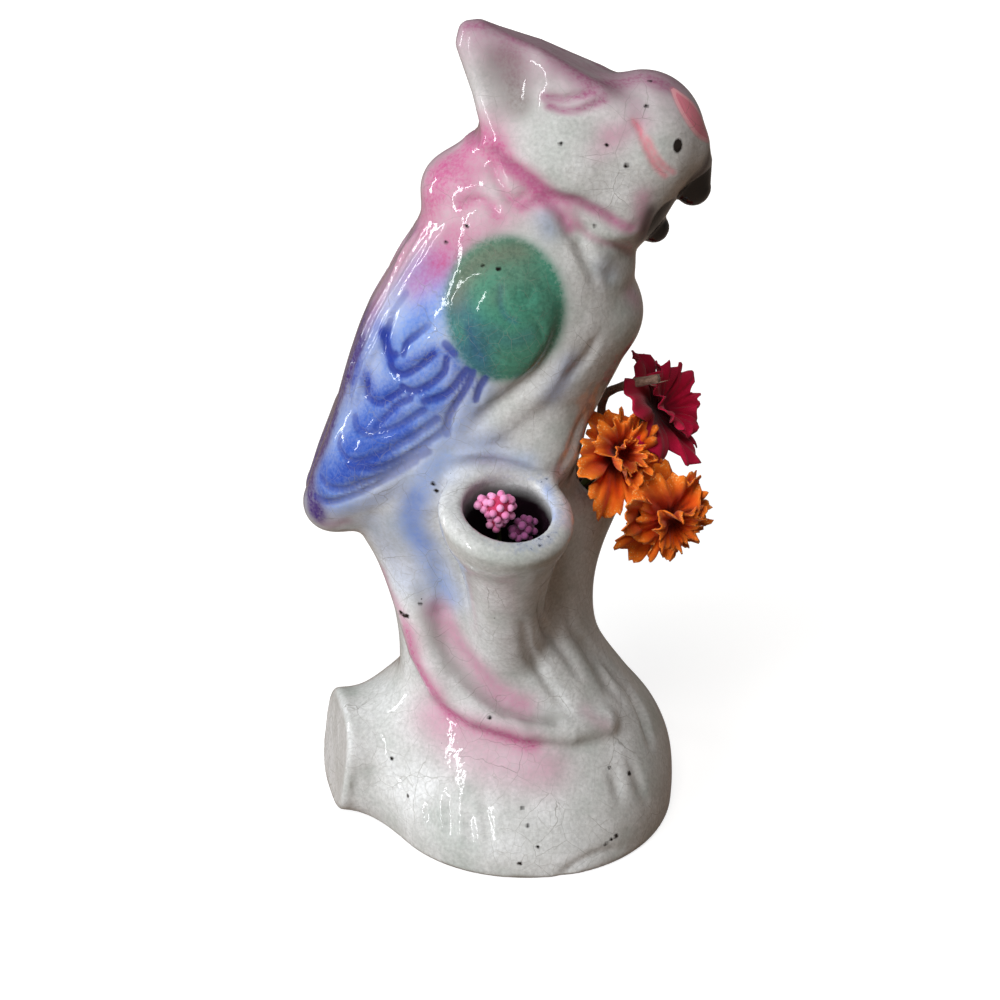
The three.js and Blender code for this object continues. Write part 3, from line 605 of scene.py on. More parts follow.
def ridge(points, radius, strength):
    """A stroke along the bird's own plane, through points (x, z) on its back or crest."""
    path = smooth_line([(x, 0, z) for x, z in points])
    away, _ = trail(near_side, path, 3 * radius)
    return strength * np.exp(-np.minimum((away / radius) ** 2, 50))


rose = spray([
    ([(-3, 144.5), (-7, 140.5), (-10.5, 137.5), (-11.5, 133.5), (-13.5, 127.5)], 4.6, 0.8),
    ([(-1.5, 142), (-4.5, 137.5), (-6, 133), (-7, 128.5), (-11.5, 122.5)], 4.0, 0.5),
    ([(3, 134), (-1.5, 130), (-6, 126), (-11.5, 121), (-15.5, 117.5)], 3.6, 0.5),
    ([(-12.5, 136.5), (-13.5, 132.5), (-15, 127), (-17, 122.5), (-21.5, 115), (-25, 109)], 4.4, 0.6),
    ([(-0.5, 144), (2, 140.5), (5, 138.5), (8, 135.5)], 1.9, 0.75),
    ([(-7, 132.5), (-4.5, 134), (-2, 133.5), (-0.5, 131.5)], 1.2, 0.75),
    ([(-8.5, 127.5), (-9.5, 124.5), (-11, 122)], 1.8, 0.4), ([(-9, 139), (-7, 138), (-6, 136.5)], 2.2, 0.5),
    (HOOD[:5], 1.6, 0.8), (HOOD[4:], 1.1, 0.7),
    ([(8, 134.5), (11.5, 134), (13.5, 130)], 1.5, 0.5),
    (FOLDS["neck5"], 1.3, 0.6), (FOLDS["neck4"], 1.0, 0.5), (FOLDS["neck2"], 0.7, 0.35),
    ([(26, 134), (26, 130), (27, 126)], 2.0, 0.5),
    ([(19.5, 146), (22.5, 147), (25, 148)], 2.4, 0.4), ([(17.5, 143), (20.5, 144.5)], 2.0, 0.25),
    ([(24.5, 114), (26, 112)], 2.4, 0.4)])
rose = np.maximum(rose, spray([
    ([(-18.5, 42.5), (-17, 37), (-14, 32.5), (-9.5, 28), (-5.5, 27), (1, 25.5), (6, 24)], 2.5, 0.95),
    ([(-14, 26), (-8.5, 23), (-2.5, 21), (4.5, 20), (9, 19.5)], 5.0, 0.45),
    ([(-12.5, 48), (-8.5, 41.5), (-4.5, 37), (-1.5, 33.5), (5, 30)], 2.6, 0.6),
    ([(-23.5, 54), (-22, 50), (-20, 47), (-19, 44.5)], 1.6, 0.5),
    ([(17.5, 27.5), (21, 25.5)], 1.8, 0.25),
    ([(11, 81), (12.6, 77.5), (12.6, 75)], 1.4, 0.3)], mirrored=False))
mauve = spray([
    ([(-6, 163.5), (-2, 163.5), (2.5, 161.5), (8, 159.5), (13.5, 156.5), (17.5, 154.5), (21.5, 153.5),
      (25.5, 154.5), (29.5, 153.5)], 2.6, 0.85),
    ([(9, 157.5), (12, 156.5), (15, 155), (18, 153.7), (21, 152.5), (24, 151)], 3.2, 0.5),
    ([(20, 153.5), (23.5, 154), (27, 154), (31, 152.5)], 2.4, 0.5),
    (FOLDS["fold1"], 0.8, 0.8), (FOLDS["fold2"], 0.75, 0.9),
    ([(8.5, 152.5), (13.5, 152), (17.5, 153.5)], 2.2, 0.3),
    (HOOD, 0.9, 0.5), (FOLDS["neck5"], 0.7, 0.4),
    ([(-36.5, 69.5), (-34.5, 66.5), (-30, 67.5)], 1.5, 0.5)])
mauve = np.maximum(mauve, ridge([(-5.5, 164), (4, 161), (14, 156.5), (20, 153.8), (26, 154.6), (31, 153.4)],
                                8.0, 0.75))
rose = np.maximum(rose, ridge([(-9, 139), (-14, 131), (-20, 118), (-26, 106)], 6.0, 0.55))
hot = spray([(CHEEK, 0.6, 0.7), (CHEEK_FRONT, 0.55, 0.6)])
print("pink strokes cover", [int((m > 0.3).sum()) for m in (rose, mauve, hot)], "vertices")

# %% Blues and green
wash = spray([
    ([(-12.5, 116.5), (-15.5, 112), (-19, 104.5), (-22, 96.5), (-25, 88.5), (-29, 83), (-32.5, 77.5)],
     6.0, 0.85),
    ([(-10, 116), (-12, 112), (-14, 108.5), (-12.5, 99), (-16, 93), (-20.5, 87.5), (-26, 82)], 4.6, 0.8),
    ([(-4, 99.5), (-6.5, 93.5), (-12.5, 89.5), (-18.5, 85), (-25, 80.5), (-32, 74)], 3.0, 0.55),
    ([(-2.5, 88), (-7, 87.5), (-10, 87)], 3.4, 0.4),
    ([(-23.2, 108), (-25.9, 101.1), (-28.7, 93.2), (-31, 87.8), (-33.1, 81.8), (-35, 75.7)], 3.6, 0.8),
    ([(-14, 80.5), (-20, 76.5), (-26, 73), (-32, 70.5)], 2.6, 0.35),
    ([(-9, 121), (-13, 121.5), (-16.5, 118), (-20, 113.5)], 3.4, 0.5),
    ([(-7.5, 84), (-3.5, 84.5), (1, 84), (5, 83.5)], 2.4, 0.35),
    ([(13, 103.5), (11.5, 100), (10, 97.5)], 2.4, 0.4),
    ([(8.2, 131.2), (9, 129.5)], 2.4, 0.3), ([(19, 121), (20.5, 119.5)], 2.4, 0.15)])
wash = np.maximum(wash, spray([
    ([(-10.5, 84.5), (-13.5, 81.5), (-15, 77.5), (-17, 72), (-17.5, 68), (-15, 62.5), (-12.5, 56.5),
      (-10.5, 52)], 3.5, 0.66),
    ([(-25.5, 68.5), (-22.5, 61.5), (-19, 54.5)], 4.0, 0.28),
    ([(9, 78.5), (9.5, 77), (10, 76)], 1.1, 0.6)], mirrored=False))
deep_blue = spray([
    ([(-6.5, 104), (-10, 99), (-14.5, 94.5), (-19.5, 89.5), (-25, 85), (-30, 80)], 3.6, 0.6),
    ([(-19.5, 98.5), (-23, 94), (-26.5, 89.5), (-29.5, 84.5), (-32.5, 78.5)], 3.4, 0.85),
    ([(-12.5, 103.5), (-16, 100), (-12.5, 97.5)], 2.6, 0.6),
    ([(-21, 107), (-20.6, 104.5), (-19.6, 103)], 1.9, 0.7),
    ([(-11.5, 106.5), (-9.5, 106), (-8, 104.5)], 1.6, 0.7),
    ([(-34, 79.5), (-35, 75.5), (-34, 73)], 2.2, 0.9),
    ([(-14, 113), (-16, 110), (-17.5, 107)], 2.2, 0.5)])
deep_blue = np.maximum(deep_blue, spray([([(-16.5, 75), (-17, 70), (-15.5, 64.5)], 2.5, 0.4)],
                                        mirrored=False))
bands = spray([
    ([(-19.5, 93.5), (-23, 90.5), (-26, 89.5)], 1.6, 0.8),
    ([(-17.5, 90), (-21.5, 87.5), (-26, 86), (-29, 85.5)], 1.9, 0.85),
    ([(-21, 84.5), (-26, 82.5), (-30, 80.5)], 1.7, 0.8),
    ([(-23, 83.5), (-27.5, 80), (-32, 78)], 1.9, 0.8),
    ([(-25, 98.5), (-24.5, 96.5), (-23, 95), (-20.5, 96.5)], 1.7, 0.95),
    ([(-12.5, 106), (-16, 104), (-18.5, 102)], 1.2, 0.85),
    ([(-26.5, 102.5), (-27, 99.5), (-28, 96.5)], 1.5, 0.8),
    ([(-22, 108), (-21, 105.5), (-20.5, 103)], 1.4, 0.9)])
ink = np.full(len(clay), 3.0)
for path in feather_paths:
    ink = np.minimum(ink, trail(near_side, path, 3)[0])
for path in seat([[(-22, 108), (-21, 105.5), (-20.5, 103)], [(-10, 108), (-8.5, 106.5)]]):
    ink = np.minimum(ink, trail(near_side, path, 3)[0] - 0.1)
violet = spray([
    ([(-26.5, 104), (-28.5, 98.5), (-30.5, 93), (-33.5, 84.5), (-36, 78.5), (-37, 76), (-37, 72), (-36, 69)],
     2.8, 0.95),
    ([(-31, 92), (-34.5, 84), (-36.8, 76)], 2.6, 0.6),
    ([(-12.5, 121.5), (-16.5, 118), (-19.5, 114.5)], 3.4, 0.12),
    ([(-16, 125), (-20, 118), (-23, 112.5), (-26, 107), (-28, 101.5)], 2.0, 0.3)])
violet = np.maximum(violet, ridge([(-25, 105), (-28.5, 98), (-32, 88), (-35, 79), (-36.5, 71)], 7.0, 0.95))
violet = np.minimum(violet * 1.25, 1)
green_x, green_z = (near_side[:, 0] - 1.1) / 10.9, (near_side[:, 2] - 114.7) / 13.1
disc_edge = (np.hypot(green_x, green_z) - 1) * 11.5
green = np.where(np.abs(clay[:, 1]) > 8, 1 / (1 + np.exp(np.clip(disc_edge / 0.5, -40, 40))), 0)
teal = spray([
    ([(-8, 117.5), (-10, 112.5), (-9, 108), (-6, 107), (-3.5, 104.5)], 2.6, 0.7),
    ([(-7.5, 115), (-5, 112.5), (-3.5, 109)], 2.8, 0.7),
    ([(-1, 112), (2, 110), (5, 111)], 1.6, 0.35), (FOLDS["s1"], 0.6, 0.5),
    ([(-9, 108), (-7.5, 106.5), (-3.5, 103), (-1.5, 101.5)], 1.6, 0.7),
    (FOLDS["s2"], 0.9, 0.95), ([(-9.5, 108), (-8, 106)], 1.6, 0.95)])
# Painted reflection: a dull grey veil sprayed over the upper left of the green disc.
disc_reflection = spray([([(-8.5, 117), (-6.5, 121), (-2.5, 124.5), (3.5, 126)], 3.3, 0.9),
              ([(-1, 118), (2, 121), (6, 121)], 2.0, 0.3)])
print("blue and green strokes cover", [int((m > 0.3).sum()) for m in (wash, bands, violet, green)])

# %% Brushed black, the bare places, and painted shade on the beak and in the holes
SPECKS = [(-19.9, 46.9, 0.5), (-19.2, 46.7, 0.5), (-18.5, 46.8, 0.45), (26.3, 15.4, 0.55), (5.5, 10.7, 0.45),
          (4.4, 13.5, 0.4), (7.5, 6.9, 0.4), (3.9, 3.7, 0.45), (-18.9, 10.9, 0.4), (-22.1, 16.3, 0.4),
          (-2.1, 29.4, 0.4), (22.1, 17.6, 0.4), (21.2, 5.2, 0.45), (22.3, 5.7, 0.4), (23.4, 6.0, 0.5),
          (-15.9, 49.7, 0.4), (-0.3, 122.4, 0.45), (-3.2, 122.8, 0.35), (22.7, 140.5, 0.5),
          (10.8, 144.7, 0.4), (26.2, 150.6, 0.4), (27.0, 153.9, 0.4), (17.2, 129.1, 0.4),
          (-6.0, 129.3, 0.4), (-9.8, 125.8, 0.4), (19.1, 144.3, 0.4), (-12.2, 76.9, 0.5),
          (-12.8, 78.6, 0.5)]
beak_line = near_side[:, 2] - (134.2 + 0.6 * (near_side[:, 0] - 34.0))
upper_beak = np.maximum(np.maximum(beak_line, 32.9 - near_side[:, 0]), 125 - near_side[:, 2])
lower_beak = (np.sqrt((((clay - (30.5, 0, 127.5)) / (5.2, 9, 6.2)) ** 2).sum(1)) - 1) * 4
eye = np.hypot((near_side[:, 0] - 32.0) / 0.88, (near_side[:, 2] - 143.6) / 1.35) - 1
black = np.minimum(np.minimum(upper_beak, lower_beak), np.where(near_side[:, 1] < -4, eye, 9))
for (x, z, radius), path in zip(SPECKS, seat([[(x - 0.1, z), (x + 0.1, z)] for x, z, _ in SPECKS])):
    black = np.minimum(black, trail(clay, path, 3)[0] - radius)
# Painted shade: a dark brown band along the top of the upper beak and another beside the lower beak.
beak_shade = spray([([(35.5, 135.6), (37.2, 136.8), (38.2, 138.4), (38.6, 140)], 1.6, 0.9),
                    ([(27.6, 130.8), (26.8, 128), (26.6, 125)], 1.7, 0.85)])
brow_away, brow_along = trail(near_side, seat([BROW])[0], 8)
patch = brow_away - 0.7 - 1.9 * np.sin(math.pi * brow_along) ** 0.8
foot_wear = np.exp(-np.maximum(clay[:, 2], 0) / 0.9)
# Painted shade: the inside of each hole darkens with depth below its rim, standing in for the shade of a deep
# hollow.
inside, lip = [], []
for spec, hole, dark_from, dark_run, middle, wide, strength in (
        (CUP, CUP_BORE, 1.5, 3.5, 10.2, 2.6, 1.0), (STUB, STUB_BORE, 1.0, 3.0, 8.2, 1.8, 0.7)):
    above, away = along_and_out(spec, *clay.T)
    depth = np.clip((-dark_from - above) / dark_run, 0, 1)
    inside.append(np.clip(2 - bore(spec, hole, *clay.T), 0, 1) * depth)
    lip.append(strength * np.exp(-((away - middle) / wide) ** 2) * np.clip(1 - np.abs(above) / 4, 0, 1))
hole_shade, lip = np.maximum(*inside), np.maximum(*lip)
print("black on", int((black < 0).sum()), "vertices; darkest in the holes", hole_shade.max().round(2))

# %% [markdown]
# ## Meshes and materials
#
# Every piece is an array of points and an array of faces, scaled to metres and put into a mesh. A
# material is a small tree of nodes, so one function adds a node with its settings and links. Colours
# are written as they look on a screen and turned to the linear values that light is added in.

# %% Mesh helpers
def make_mesh(name, points, faces):
    """A mesh from points in millimetres and a list of face arrays, each of one number of sides."""
    mesh = bpy.data.meshes.new(name)
    corners = np.concatenate([f.ravel() for f in faces])
    sides = np.concatenate([np.full(len(f), f.shape[1]) for f in faces])
    mesh.vertices.add(len(points))
    mesh.vertices.foreach_set("co", (points * MM).astype(np.float32).ravel())
    mesh.loops.add(len(corners))
    mesh.loops.foreach_set("vertex_index", corners.astype(np.int32))
    mesh.polygons.add(len(sides))
    mesh.polygons.foreach_set("loop_start", np.concatenate([[0], np.cumsum(sides)[:-1]]).astype(np.int32))
    mesh.polygons.foreach_set("use_smooth", np.ones(len(sides), bool))
    mesh.update(calc_edges=True)
    mesh.validate()
    return mesh


def store(mesh, name, *values):
    """One number, or three, for each vertex."""
    kind, key = ("FLOAT", "value") if len(values) == 1 else ("FLOAT_VECTOR", "vector")
    each = np.stack(values, 1).astype(np.float32)
    mesh.attributes.new(name, kind, "POINT").data.foreach_set(key, each.ravel())


def place(mesh, body, node, material):
    """The finished piece in the scene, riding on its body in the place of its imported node."""
    piece = bpy.data.objects.new(mesh.name, mesh)
    bpy.context.scene.collection.objects.link(piece)
    mesh.materials.append(material)
    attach(piece, body)
    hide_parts(node)
    return piece


def wind(rows, around, inward=False):
    """Faces of rows of rings: quads between the rings, then a fan to the point at each end.

    The two end points follow the last ring. inward turns the faces the other way round.
    """
    i, j = np.meshgrid(np.arange(rows - 1), np.arange(around), indexing="ij")
    k = (j + 1) % around
    quads = np.stack([i * around + j, i * around + k, (i + 1) * around + k, (i + 1) * around + j], 2)
    here, after = np.arange(around), (np.arange(around) + 1) % around
    last, end = (rows - 1) * around, np.full(around, rows * around)
    faces = [quads.reshape(-1, 4), np.stack([end, after, here], 1),
             np.stack([end + 1, last + here, last + after], 1)]
    return [np.concatenate([f[:, :1], f[:, :0:-1]], 1) for f in faces] if inward else faces


# %% Material helpers
def tone(code, alpha=1.0):
    """An sRGB hex colour as linear red, green, blue and alpha."""
    parts = [int(code[i:i + 2], 16) / 255 for i in (1, 3, 5)]
    return tuple(c / 12.92 if c <= 0.04045 else ((c + 0.055) / 1.055) ** 2.4 for c in parts) + (alpha,)


def feed(tree, node, inputs):
    """Fills sockets, each from a value, an output, or a node whose first live output is meant."""
    for socket, value in inputs.items():
        if isinstance(value, bpy.types.Node):
            value = next(out for out in value.outputs if out.enabled)
        if isinstance(value, bpy.types.NodeSocket):
            tree.links.new(value, node.inputs[socket])
        else:
            node.inputs[socket].default_value = value


def put(tree, kind, inputs=(), stops=(), **settings):
    """Adds one node with its settings and inputs; stops are a ramp's places and colours in order."""
    made = tree.nodes.new("ShaderNode" + kind)
    for key, value in settings.items():
        setattr(made, key, value)
    feed(tree, made, dict(inputs))
    if stops:
        for element, (at, code) in zip(made.color_ramp.elements, (stops[0], stops[-1])):
            element.position, element.color = at, tone(code)
    for at, code in stops[1:-1]:
        made.color_ramp.elements.new(at).color = tone(code)
    return made


def calc(tree, operation, *values, clamp=False):
    """Arithmetic on numbers or outputs."""
    return put(tree, "Math", dict(enumerate(values)), operation=operation, use_clamp=clamp)


def remap(tree, value, low, high, to_low=0.0, to_high=1.0, **settings):
    """The range from low to high drawn to another range and held within it."""
    return put(tree, "MapRange", dict(enumerate((value, low, high, to_low, to_high))), **settings)


def mix(tree, share, under, over, way="MIX"):
    """One colour over another by a share."""
    return put(tree, "Mix", {0: share, 6: under, 7: over}, data_type="RGBA", blend_type=way)


def noise(tree, where, size, detail, roughness=0.5):
    """Cloudy noise whose largest cells are size millimetres across."""
    return put(tree, "TexNoise", {"Vector": where, "Scale": PER_MM / size, "Detail": detail,
                                  "Roughness": roughness})


def relief(tree, height, strength, depth, **sockets):
    """Bumps depth millimetres deep where the height goes from 0 to 1."""
    return put(tree, "Bump", {"Height": height, "Strength": strength, "Distance": depth * MM, **sockets})


def start(name, roughness, **sockets):
    """A material with its tree, its Principled shader and the coordinates of its object."""
    material = bpy.data.materials.new(name)
    material.use_nodes = True
    tree = material.node_tree
    shader = tree.nodes["Principled BSDF"]
    constants = {socket.replace("_", " "): value for socket, value in sockets.items()}
    feed(tree, shader, {"Roughness": roughness, **constants})
    return material, tree, shader, put(tree, "TexCoord").outputs["Object"]


PER_MM = 1 / MM         # texture cells per metre when one cell is a millimetre
print("helpers ready")

# %% [markdown]
# ## The glaze
#
# Crazed earthenware is a pale porous body under about half a millimetre of clear glass. What the eye
# sees is a grey-white ground with a little grain, colours with soft sprayed edges that break up over
# that grain, a net of hairline cracks 2 to 4 mm across, black iron specks, and one sharp wet-looking
# reflection. A rough base with a clear coat gives the two surfaces. IOR 1.5 is that of glass.

# %% The sprayed ground
glaze, tree, shader, here = start("crazed_clear_glaze", 0.42, IOR=1.5, Specular_IOR_Level=0.08,
                                  Coat_Weight=1.0, Coat_Roughness=0.05, Coat_IOR=1.5)
pinks, blues, inks_and_hole_shade, disc, drawn, wear_and_shade = (
    put(tree, "SeparateXYZ", {0: put(tree, "Attribute", attribute_name=name).outputs["Vector"]}).outputs
    for name in ("pinks", "blues", "inks_and_hole_shade", "disc", "drawn", "wear_and_shade"))
SPRAY_GRAIN = 0.7       # mm across a droplet cluster
CLOUD = 9.0             # mm across a cloud of denser spray
BODY_CLOUD = 14.0       # mm across a tint in the white
grain = noise(tree, here, SPRAY_GRAIN, 2.0, 0.6)
cloud = noise(tree, here, CLOUD, 3.0, 0.6)
body_cloud = noise(tree, here, BODY_CLOUD, 4.0, 0.65)
white = put(tree, "ValToRGB", {0: body_cloud},
            stops=((0.32, "#B3B8B4"), (0.5, "#CACBCA"), (0.68, "#DDDEDF")))
fine = remap(tree, grain, 0.3, 0.7, 0.86, 1.1)
colour = mix(tree, 1.0, white, fine, "MULTIPLY")
print("ground:", len(tree.nodes), "nodes")

# %% Colours sprayed and drawn over it
CLOUD_SHARE = 0.6       # how much the clouds count beside the grain
INK_SOLID = 0.38        # mm from its line to which the ink is full
INK_LOW, INK_LOW_END, INK_HIGH, INK_HIGH_END = (h * MM for h in (90, 98, 107, 112))   # heights it changes at
PATCH_EDGE = 0.5        # mm over which the brushed patch ends
shade = calc(tree, "MULTIPLY", cloud, CLOUD_SHARE)
broken = calc(tree, "ADD", grain, shade)
density = remap(tree, broken, 0.45, 1.15, 0.6, 1.25)
# The first layer is painted shade in the crest's hollow and the root's valley.
layers = [(calc(tree, "MULTIPLY", mask, density, clamp=True), code)
          for mask, code in ((wear_and_shade[2], "#807E79"), (blues[0], "#7C9DDE"), (pinks[0], "#BC5D8C"),
                             (pinks[1], "#9B607F"), (blues[2], "#3760B8"), (blues[1], "#2A4CAC"),
                             (inks_and_hole_shade[1], "#42306C"), (disc[0], "#488872"), (disc[1], "#2B5579"),
                             # disc[2] is the painted reflection on the disc.
                             (disc[2], "#747969"), (pinks[2], "#E06A80"))]

ink_width = remap(tree, cloud, 0.35, 0.65, 0.85, 1.4)
height = put(tree, "SeparateXYZ", {0: here}).outputs[2]
low_ink = remap(tree, height, INK_LOW, INK_LOW_END, 0.5, 0.8)
fading = remap(tree, height, INK_HIGH, INK_HIGH_END, 1.0, 0.35)
ink_strength = calc(tree, "MULTIPLY", low_ink, fading)
ink_line = remap(tree, inks_and_hole_shade[0], ink_width, INK_SOLID, 0.0, ink_strength, interpolation_type="SMOOTHSTEP")
mottle = remap(tree, broken, 0.72, 0.98, 0.0, 0.35)
mottle = calc(tree, "MULTIPLY", mottle, disc[0], clamp=True)
inside_patch = remap(tree, drawn[1], PATCH_EDGE, -PATCH_EDGE)
# Painted highlight: a pale pink line round the edge of the brow patch.
rim_highlight = calc(tree, "COMPARE", drawn[1], -0.35, 0.4)
rim_highlight = calc(tree, "MULTIPLY", rim_highlight, 0.6)
layers += [(ink_line, "#1F2F8C"), (mottle, "#2C5E50"), (inside_patch, "#EA8A9C"), (rim_highlight, "#F9BDC4"),
           # The last layer is painted shade on the beak.
           (drawn[2], "#3E2C2A")]
print("colours:", len(tree.nodes), "nodes")

# %% Cracks, specks and the bare foot
CRACK_CELL, WIDE_CRACK_CELL, CRACK_WIDE = 2.6, 8.0, 0.07
CRACK_BEND = 0.8 * MM
BLACK_EDGE = 0.16       # mm over which the brushed black ends
wander = noise(tree, here, 2.0, 1.0).outputs["Color"]
bent = put(tree, "VectorMath", {0: wander, 1: (CRACK_BEND,) * 3}, operation="MULTIPLY")
bent = put(tree, "VectorMath", {0: here, 1: bent}, operation="ADD")
patchy = remap(tree, body_cloud, 0.42, 0.6)
for cell, code, strength in ((CRACK_CELL, "#8F8C84", 0.35), (WIDE_CRACK_CELL, "#6E6A62", 0.55)):
    edge = put(tree, "TexVoronoi", {"Vector": bent, "Scale": PER_MM / cell},
               feature="DISTANCE_TO_EDGE").outputs["Distance"]
    crack = remap(tree, edge, CRACK_WIDE / cell, 0.2 * CRACK_WIDE / cell, 0.0, strength)
    layers.append((calc(tree, "MULTIPLY", crack, patchy), code))
for cell, size, share in ((5.0, 0.36, 0.55), (2.2, 0.16, 0.45), (17.0, 0.9, 0.35)):
    spots = put(tree, "TexVoronoi", {"Vector": bent, "Scale": PER_MM / cell})
    chosen = put(tree, "SeparateXYZ", {0: spots.outputs["Color"]}).outputs[0]
    width = remap(tree, chosen, 1 - share, 1.0, 0.0, size / 2 / cell)
    speck = calc(tree, "LESS_THAN", spots.outputs["Distance"], width)
    layers.append((calc(tree, "MULTIPLY", speck, 0.8), "#332F2C"))
lip_noise = noise(tree, here, 1.1, 3.0, 0.75)
lip_limit = calc(tree, "MULTIPLY", lip_noise, wear_and_shade[1])
lip_blue = remap(tree, lip_limit, 0.3, 0.55, 0.0, 0.55)
lip_spots = remap(tree, lip_limit, 0.53, 0.58, 0.0, 0.8)
bare = calc(tree, "MULTIPLY", wear_and_shade[0], cloud)
bare = remap(tree, bare, 0.15, 0.45)
inside_black = remap(tree, drawn[0], BLACK_EDGE, -BLACK_EDGE)
# The last layer is painted shade deep inside the holes.
layers += [(lip_blue, "#8E9BBE"), (lip_spots, "#3B3A3C"), (bare, "#7A6E62"), (inside_black, "#100C0A"),
           (inks_and_hole_shade[2], "#1E1119")]
for mask, code in layers:
    colour = mix(tree, mask, colour, tone(code))
print("glaze:", len(layers), "layers of colour")

# %% Ripples of the glass
ripple = noise(tree, here, 3.5, 2.0)
peel = relief(tree, ripple, 1.0, 0.18)
peel = relief(tree, grain, 1.0, 0.012, Normal=peel)
feed(tree, shader, {"Base Color": colour, "Normal": peel, "Coat Normal": peel})
print("glaze:", len(tree.nodes), "nodes")

# %% Put the casting in the scene
# Painted shade: grey sprayed into the hollow of the crest and along the valley above the rolled root, where
# shade falls.
hollow_shade = np.maximum(
    spray([([(1.5, 158.5), (2.3, 155), (3.3, 150.5)], 3.4, 0.9)]),
    spray([([(-16, 52.5), (-14.5, 46), (-10.5, 38.5), (-4.5, 33), (3, 29), (11.5, 27.5)], 1.8, 0.5)],
          mirrored=False))
body_mesh = make_mesh("figurine_body", formed, [clay_faces])
store(body_mesh, "pinks", rose, mauve, hot)
store(body_mesh, "blues", wash, bands, deep_blue)
# Ink lines, violet, and painted shade inside the holes.
store(body_mesh, "inks_and_hole_shade", ink, violet, hole_shade)
# Green, teal, and the painted reflection on the disc.
store(body_mesh, "disc", green * 1.35, green * teal, green * disc_reflection)
# The brushed black, the brow patch, and painted shade on the beak.
store(body_mesh, "drawn", black, patch, beak_shade)
# The last attribute holds the bare foot, the speckled rims of the holes, and painted shade in the crest's
# hollow and the root's valley.
store(body_mesh, "wear_and_shade", foot_wear, lip, hollow_shade)
place(body_mesh, "figurine", "figurine", glaze)
print("figurine:", len(body_mesh.vertices), "vertices")

# %% [markdown]
# ## Cloth flowers
#
# Each flower is two or three discs of dyed cloth, stamped out with lobes, crimped hot so that the
# lobes curl, and threaded on a wire. A disc is drawn as its flat cut, radius by angle, and every
# line from the centre outwards is then bent in its own plane: its slope turns up in the middle and
# out again at the tip, so the cloth keeps its length. Small waves across the lobes are the crimp.

# %% Cloth disc
FALLS_SHORT = 0.22      # share by which a lobe may be shorter than the reach
EYELET = 0.035          # share of the reach where the cloth starts round its wire
OWN_TILT, OWN_CURL = 12, 34     # degrees by which lobes differ, evenly along them and at their tips
SAW_TEETH = 2.5         # saw teeth to half a lobe


def cloth_disc(seed, reach, lobes, slit, tips, cut_power, bend, turn, crimp, lean=(0, 0),
               around=15, rings=24):
    """Points (rings, angles, 3) of a lobed disc and its flat cut.

    The cut's edge is slit + (reach - slit) (1 - |t|^power)^(1/2) across each lobe, t from -1 to 1,
    with saw teeth. bend gives the slope in degrees at the centre, half way and at the edge; each
    lobe adds its own share. turn draws the lobe's sides together, crimp waves it across, and lean
    makes the lobes longer by a share towards an angle in degrees, where the cloth was pulled.
    """
    rng = np.random.default_rng(seed)
    count = lobes * around
    angle = np.arange(count) * 2 * np.pi / count
    lobe_of = np.arange(count) // around
    t = (np.arange(count) % around) / around * 2 - 1 + 1 / around
    length = reach * (1 - FALLS_SHORT * rng.random(lobes))[lobe_of]
    length = length * (1 + lean[0] * np.cos(angle - math.radians(lean[1])))
    edge = slit * reach + (length - slit * reach) * (1 - np.abs(t) ** cut_power) ** 0.5
    edge = edge * (1 - tips * np.abs((t * SAW_TEETH + 0.3) % 1 - 0.5))
    r = np.linspace(EYELET, 1, rings)[:, None]
    own = rng.normal(0, 1, (3, lobes))[:, lobe_of]
    degrees = (bend[0] * (1 - r) * (1 - 2 * r) + bend[1] * 4 * r * (1 - r) + bend[2] * r * (2 * r - 1)
               + own[0] * OWN_TILT * r + own[1] * OWN_CURL * r ** 3)
    tilt = np.radians(degrees)
    step = np.diff(np.concatenate([[[0]], r]), axis=0)
    far = np.cumsum(np.cos(tilt) * step, axis=0) * edge
    high = np.cumsum(np.sin(tilt) * step, axis=0) * edge
    middle = (lobe_of + 0.5) * around * 2 * np.pi / count
    drawn_in = angle - (angle - middle) * turn * r ** 1.5
    wave_a, wave_b = rng.uniform(0, 2 * np.pi, (2, lobes))[:, lobe_of]
    high = high + crimp * r ** 2 * (0.5 * t ** 2 + 0.42 * np.sin(4.4 * t + 3 * r + wave_a)
                                    + 0.24 * np.sin(9 * t - 6 * r + wave_b))
    far = far + 0.3 * crimp * r ** 3 * np.sin(5.5 * t + wave_b)
    points = np.stack([far * np.cos(drawn_in), far * np.sin(drawn_in), high], 2)
    flat = np.stack([r * edge * np.cos(angle), r * edge * np.sin(angle), r * edge * 0 + r], 2)
    return points, flat


# %% Cloth material
THREAD = 0.32                       # mm between threads
WAVE_PER_THREAD = 1.57 / 3.1416     # scale of the wave texture at which one band is one unit wide


